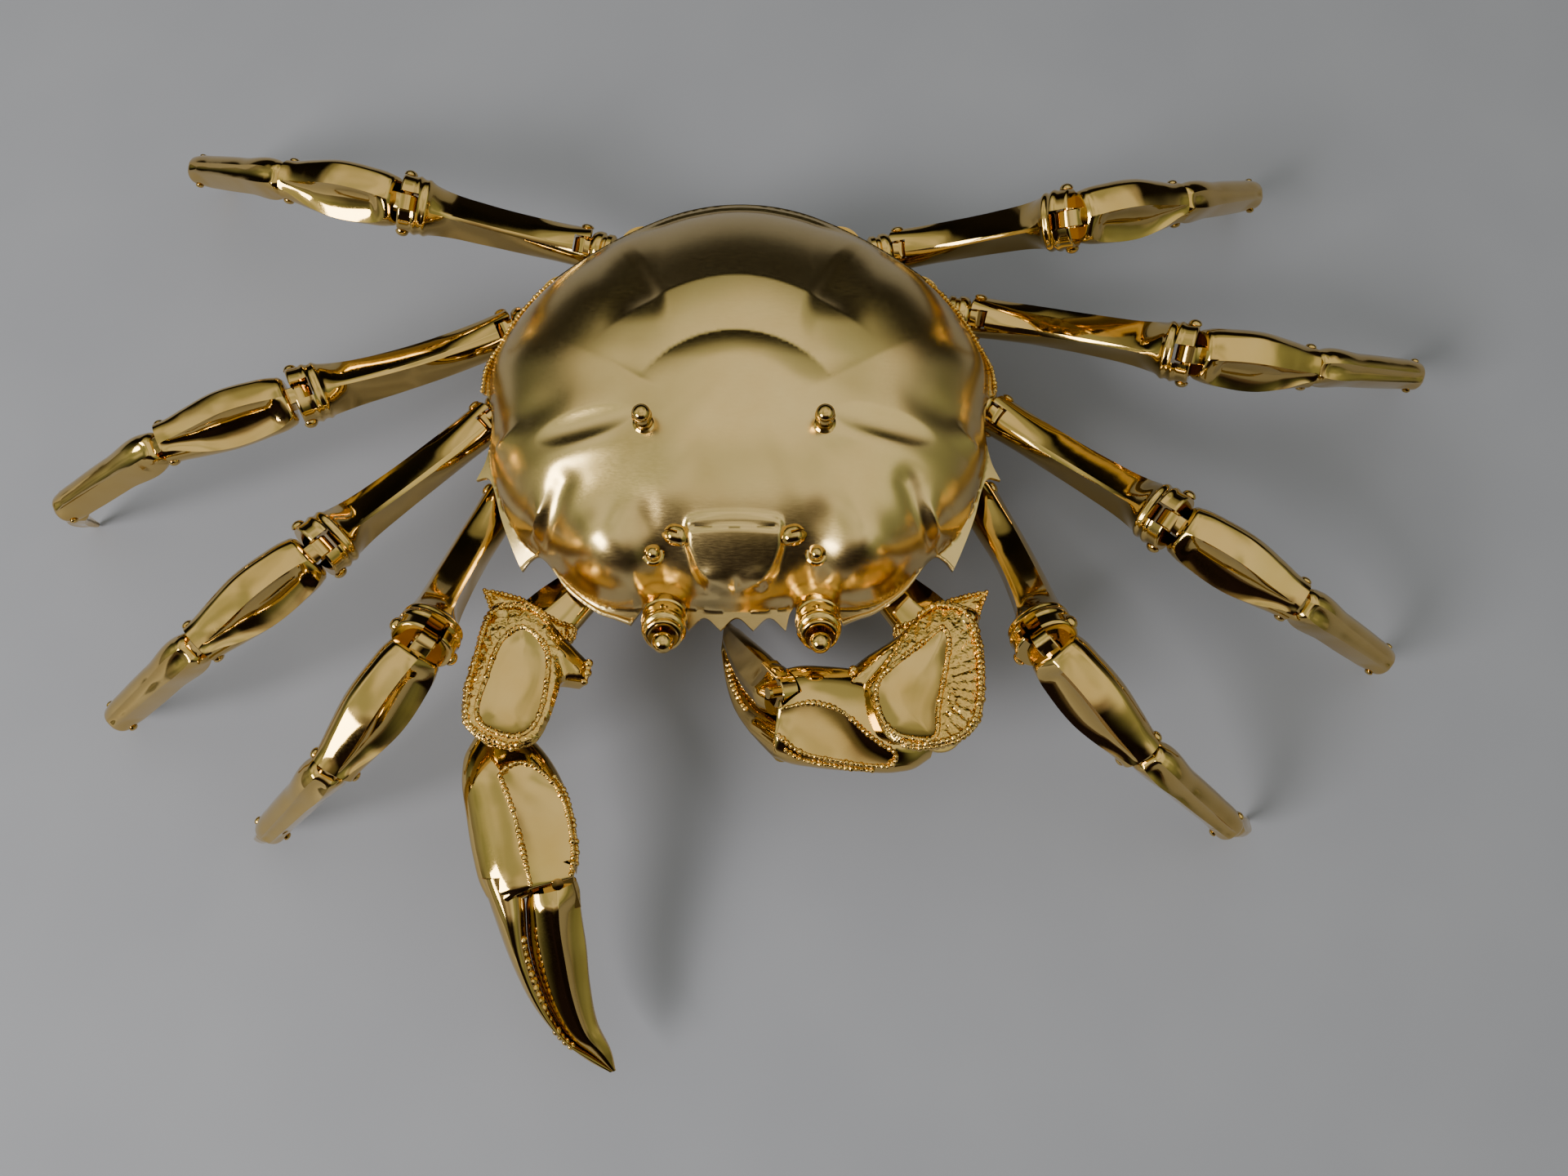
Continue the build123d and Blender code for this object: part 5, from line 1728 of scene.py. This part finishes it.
    def finger_track(self) -> tuple[list, list, list]:
        """Plan of both fingers: outer edge, meeting line and inner edge, as stations of (x, y)."""
        h, r = self.form.hook, self.form.reach / 57.5
        outer = [
            (-6, -13.2), (0, -12.9), (8.5 * r, -12.2), (20 * r, -10.8), (32.5 * r, -7.8), (44 * r, -3.2 + 0.1 * h),
            (52 * r, -3.5 + 0.7 * h), (57.5 * r, -0.9 + h),
        ]
        meeting = [
            (-6, -2.4), (4 * r, -3.4), (15 * r, -5.2), (30 * r, -4.6), (37 * r, -3.2), (44 * r, -1.6 + 0.1 * h),
            (51 * r, -2.4 + 0.75 * h), (57.5 * r, -0.2 + h),
        ]
        inner = [
            (-6, 11.6), (2, 12.0), (10 * r, 10.8), (20 * r, 10.0), (31 * r, 8.6), (43 * r, 5.4 + 0.3 * h),
            (52 * r, 1.5 + 0.9 * h), (57.5 * r, 0.5 + h),
        ]
        return outer, meeting, inner

    def finger_skin(self, x: np.ndarray, low: Stations, high: Stations, gap: float, facets: Sequence[Facet]) -> Skin:
        """One tapering finger between two lines of the plan.

        Args:
            x: the positions along it.
            low: the line on its outer side.
            high: the line on its inner side.
            gap: room kept from the outer line.
            facets: its faces.

        Returns:
            Points and faces.
        """
        reach = self.form.reach
        a, b = smooth(low, x)[:, 0] + gap, smooth(high, x)[:, 0]
        tall = np.interp(x, [-6, 0, 6, 0.35 * reach, 0.8 * reach, reach], [4.6, 5.3, 5.9, 5.4, 3.4, 0.45])
        drop = self.form.sag * np.clip(x / reach, 0, 1) ** 2
        stations = np.column_stack([x, (a + b) / 2, drop, np.maximum(b - a, 0.9), tall, tall])
        return limb_skin(x, stations.tolist(), facets)

    def panel_rows(self, run: np.ndarray) -> list[np.ndarray]:
        """The beaded edges of the hand's panel: round its start and along both sides, and one row below.

        Args:
            run: places along the hand.

        Returns:
            Lines in the hand's frame.
        """
        crest = section_line(run, self.PALM, self.form.crest)
        edge = section_line(run, self.PALM, self.form.edge)
        away = 12 if self.panel_inside else -12
        below = section_line(run[5:-3], self.PALM, [(a, b + away) for a, b in self.form.edge])
        t = np.linspace(0, 1, 9)[:, None]
        start = crest[0] + t * (edge[0] - crest[0]) + np.array([-2.0, 0, 0.3]) * 4 * t * (1 - t)
        return [np.concatenate([crest[::-1], start[1:], edge[1:]]), below]

    def hand(self) -> None:
        """The swollen hand with its beaded panel and the fixed finger."""
        crest, edge, reach = self.form.crest, self.form.edge, self.form.reach
        full = [(1, 0), (9, 0.3), (13, 1), (45.5, 1)]
        soft = [(1, 0), (8, 0.2), (22, 0.35), (45.5, 0.3)]
        if self.panel_inside:
            facets = [Facet([(1, 18), (22, 14), (45.5, 16)], crest, soft, -0.6), Facet(crest, edge, full, 0.5)]
        else:
            facets = [Facet(edge, crest, full, 0.5), Facet(crest, [(1, 160), (45.5, 160)], soft, -0.6)]
        x = np.concatenate([[1, 1.2, 1.8, 2.8], np.linspace(4, 43.5, 46), [44.4, 45.0, 45.3, 45.5]])
        stations = list(self.PALM)
        if self.form.shoulder:
            x = np.concatenate([x, [45.8, 46.2, 46.8, 47.6, 48.6, 49.8, 51.2, 52.6, 53.4]])
            stations += [
                (46.2, -4.7, 0.7, 16.4, 6.7, 6.9), (47.2, -7.2, 0.4, 11.4, 5.9, 6.4), (50, -8.0, -0.8, 9.6, 5.5, 5.8),
                (53.4, -8.3, -2.4, 8.2, 5.0, 5.2),
            ]
        palm = limb_skin(x, stations, facets, ridges=lambda s: -0.6 * np.clip((s - 44.4) / 1.1, 0, 1) ** 2)
        palm = carve(palm, [self.local(box((-5.2, 1.2, -2.8), (9, 11.6, 2.8)), "fingers", "blade")])
        outer, meeting, _ = self.finger_track()
        along = np.concatenate([np.linspace(-6, reach - 3, 50), reach - FINGER_END])
        back = Facet([(-6, -5), (reach, -5)], [(-6, 82), (reach, 86)], [(-6, 0.2), (6, 0.5), (reach, 0.7)], -0.5)
        fixed = self.local(self.finger_skin(along, outer, meeting, 0.0, [back]), "fingers", "blade")
        axle = lathe([(-5.0, 0.4), (-4.9, 1.6), (4.9, 1.6), (5.0, 0.4)], 20)
        axle = self.local(moved(upright(axle), 0, FINGER_HINGE, 0), "fingers", "blade")
        boss = upright(lathe([(-5.5, 1), (-5.4, 6.0), (-5.0, 6.5), (3.2, 6.6), (3.7, 6.2), (3.8, 2)]))
        self.put("palm", "blade", joined([palm, fixed, axle, moved(boss, 0, 0, 1.0)]))
        self.row("panel_beads", "palm", "blade", self.panel_rows(np.linspace(13.5, 44.4, 40)), 1.45, 0.8, 0.5)
        bite = np.linspace(13, 0.8 * reach, 26)
        height = self.form.sag * (bite / reach) ** 2 + np.interp(bite, [0, reach], [4.8, 1.2])
        teeth = np.column_stack([bite, smooth(meeting, bite)[:, 0] - 0.9, height])
        self.row("finger_teeth", "palm", "fingers", [teeth], 2.1, 1.15, 0.4)

    def local(self, skin: Skin, source: str, target: str) -> Skin:
        """A form of one frame in another, both drawn for the left claw.

        Args:
            skin: the form in the source frame.
            source: name of the frame it is in.
            target: name of the frame wanted.

        Returns:
            The form in the target frame.
        """
        world = self.places[source].out(skin[0] * self.flip)
        goal = self.places[target]
        return (world - goal.origin) / MM @ goal.axes.T * self.flip, skin[1]

    def finger(self) -> None:
        """The moving finger with its knuckle tongue."""
        _, meeting, inner = self.finger_track()
        reach = self.form.reach
        along = np.concatenate([[1.6, 1.7, 2.0, 2.6], np.linspace(3.4, reach - 3, 48), reach - FINGER_END])
        back = Facet(
            [(0, 100), (reach, 100)], [(0, 165), (reach, 150)],
            [(0, 0), (6, 0.8), (reach * 0.8, 0.8), (reach, 0)], 0.35,
        )
        front = Facet([(0, 8), (reach, 8)], [(0, 88), (reach, 88)], [(0, 0), (8, 0.5), (reach, 0.4)], -0.6)
        points, faces = self.finger_skin(along, meeting, inner, 0.06, [front, back])
        near = np.clip((5.0 - points[:, 0]) / 3.4, 0, 1)[:, None]
        points = points + near * ((points - [0, 5.0, 0]) * [0, -0.10, -0.16])
        knuckle = moved(swapped(tongue(9.0, 4.6, 2.5), 0, 2, 1), 0, FINGER_HINGE, 0)
        self.put("finger", "finger", self.local(joined([(points, faces), knuckle]), "fingers", "finger"))


# ---------------------------------------------------------------- studio


# colours of the room by height, from straight below to straight above, seen to the sides, behind and in front
ROOM = {
    "side": (
        (0.0, "#7A786E"), (0.08, "#7F8175"), (0.26, "#9A9D8C"), (0.44, "#B7BAA6"), (0.66, "#D4D4C6"),
        (1.0, "#DEDBD4"),
    ),
    "rear": (
        (0.0, "#3F3B37"), (0.04, "#171512"), (0.43, "#15120F"), (0.54, "#A09B90"), (0.64, "#D2CFC6"),
        (1.0, "#DEDBD4"),
    ),
    "front": (
        (0.0, "#544A44"), (0.14, "#1A1315"), (0.66, "#1E1619"), (0.77, "#80766F"), (0.87, "#D2CEC4"),
        (1.0, "#DEDBD4"),
    ),
}


@dataclass
class Studio:
    """Plain pale floor, the room's light, one soft lamp and the camera."""

    eye: tuple[float, float, float] = (9.4, -100.3, 374.6)
    tilt: float = 14.4
    lens: float = 27.04
    floor_z: float = -0.0004
    floor_half: float = 3.0
    lamp_at: tuple[float, float, float] = (-0.88, -0.62, 0.84)
    lamp_aim: tuple[float, float, float] = (0, 0, 0.05)
    lamp_size: tuple[float, float] = (0.6, 0.45)
    lamp_watts: float = 17
    room_strength: float = 1.42

    def camera(self) -> None:
        """Puts the camera where the photograph was taken from."""
        data = bpy.data.cameras.new("camera")
        data.lens, data.sensor_width, data.sensor_fit = self.lens, 36.0, "HORIZONTAL"
        data.clip_start, data.clip_end = 0.01, 20
        camera = added("camera", data)
        camera.location = tuple(v * MM for v in self.eye)
        camera.rotation_euler = (math.radians(self.tilt), 0, 0)
        bpy.context.scene.camera = camera

    def floor(self) -> None:
        """A wide pale cloth-covered board with the faintest mottling."""
        material = bpy.data.materials.new("pale_grey_cloth_floor")
        material.use_nodes = True
        tree = material.node_tree
        shader = tree.nodes["Principled BSDF"]
        shader.inputs["Roughness"].default_value = 0.85
        place = add_node(tree, "ShaderNodeTexCoord").outputs["Object"]
        colour = mixed(tree, noise(tree, place, 1 / (60 * MM), 2.0), linear("#8D909D"), linear("#979AA6"))
        tree.links.new(colour, shader.inputs["Base Color"])
        mesh = bpy.data.meshes.new("floor")
        r, z = self.floor_half, self.floor_z
        mesh.from_pydata([(-r, -r, z), (r, -r, z), (r, r, z), (-r, r, z)], [], [(0, 1, 2, 3)])
        mesh.materials.append(material)
        floor = added("floor", mesh)

    def lamp(self) -> None:
        """Hangs one soft rectangular lamp in front of the crab, to its left."""
        data = bpy.data.lights.new("window", "AREA")
        data.shape, data.energy = "RECTANGLE", self.lamp_watts
        data.size, data.size_y = self.lamp_size
        data.color = linear("#FFF9EE")[:3]
        lamp = added("window", data)
        lamp.location = self.lamp_at
        lamp.rotation_mode = "QUATERNION"
        lamp.rotation_quaternion = (Vector(self.lamp_aim) - Vector(self.lamp_at)).to_track_quat("-Z", "Y")

    def sky(self) -> None:
        """A room's light: pale overhead, dark low behind, dusky in front and pale to the sides."""
        world = bpy.data.worlds.new("room")
        world.use_nodes = True
        bpy.context.scene.world = world
        tree = world.node_tree
        back = tree.nodes["Background"]
        way = add_node(tree, "ShaderNodeTexCoord").outputs["Generated"]
        parts = add_node(tree, "ShaderNodeSeparateXYZ", {}, {0: way})
        warp = noise(tree, way, 1.6, 1.0)  # keeps the bands of the room from being level
        shift = add_node(tree, "ShaderNodeMath", {"operation": "MULTIPLY_ADD", 1: 0.16, 2: -0.08}, {0: warp})
        level = add_node(tree, "ShaderNodeMath", {"operation": "ADD"}, {0: parts.outputs["Z"], 1: shift.outputs[0]})
        flat = add_node(tree, "ShaderNodeVectorMath", {"operation": "MULTIPLY", 1: (1, 1, 0)}, {0: way})
        bearing = add_node(tree, "ShaderNodeVectorMath", {"operation": "NORMALIZE"}, {0: flat.outputs[0]})
        ahead = add_node(tree, "ShaderNodeSeparateXYZ", {}, {0: bearing.outputs[0]})
        shade = {}
        for label, stops in ROOM.items():
            bands = add_node(tree, "ShaderNodeValToRGB", {}, {0: level.outputs[0]})
            bands.color_ramp.interpolation = "EASE"
            while len(bands.color_ramp.elements) < len(stops):
                bands.color_ramp.elements.new(0.5)
            for element, (position, colour) in zip(bands.color_ramp.elements, stops):
                element.position, element.color = position, linear(colour)
            shade[label] = bands.outputs[0]

        def eased(value: bpy.types.NodeSocket, low: float, high: float) -> bpy.types.NodeSocket:
            """Eases from zero at low to one at high."""
            settings = {"interpolation_type": "SMOOTHSTEP", "From Min": low, "From Max": high}
            return add_node(tree, "ShaderNodeMapRange", settings, {"Value": value}).outputs[0]

        room = mixed(tree, eased(ahead.outputs[1], 0.1, 0.55), shade["side"], shade["rear"])
        room = mixed(tree, eased(ahead.outputs[1], -0.55, -0.9), room, shade["front"])
        drift = noise(tree, way, 1.9, 1.5, 0.4)  # patches of a faint green tint
        tint = mixed(tree, eased(drift, 0.42, 0.62), linear("#FFFFFF"), linear("#BEC4B0"))
        tree.links.new(mixed(tree, 1.0, room, tint, "MULTIPLY"), back.inputs["Color"])
        back.inputs["Strength"].default_value = self.room_strength

    def build(self) -> None:
        """Makes the whole set."""
        self.camera()
        self.floor()
        self.sky()
        self.lamp()


CLAW_BENDS = {
    Side.LEFT: ClawBends(wrist=24.0, droop=6.0, roll=0.0, finger_roll=0.0, curl=22.0),
    Side.RIGHT: ClawBends(wrist=86.0, droop=-13.0, roll=12.0, finger_roll=34.0, curl=60.0),
}


def main() -> None:
    """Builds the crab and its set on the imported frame."""
    logging.basicConfig(level=logging.INFO, format="%(message)s")
    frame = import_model()
    Studio().build()
    finishes = Finishes()
    hinges = Hinges(frame["joints"])
    shell = Shell()
    beads = BeadRow()
    shell.build(finishes, beads)
    Studs(shell).build(finishes)
    Eyes().build(finishes)
    for side in Side:
        for pair in Pair:
            Leg(side, pair, hinges.leg(side, pair), finishes).build()
    for side in Side:
        Claw(side, hinges.claw(side, CLAW_BENDS[side]), finishes, beads, CLAW_FORMS[side]).build()
    for name, node in frame["nodes"].items():
        if not node.hide_render:
            node.data.materials.clear()
            node.data.materials.append(finishes.limb if "claw" in name else finishes.belly)


if __name__ == "__main__":
    main()
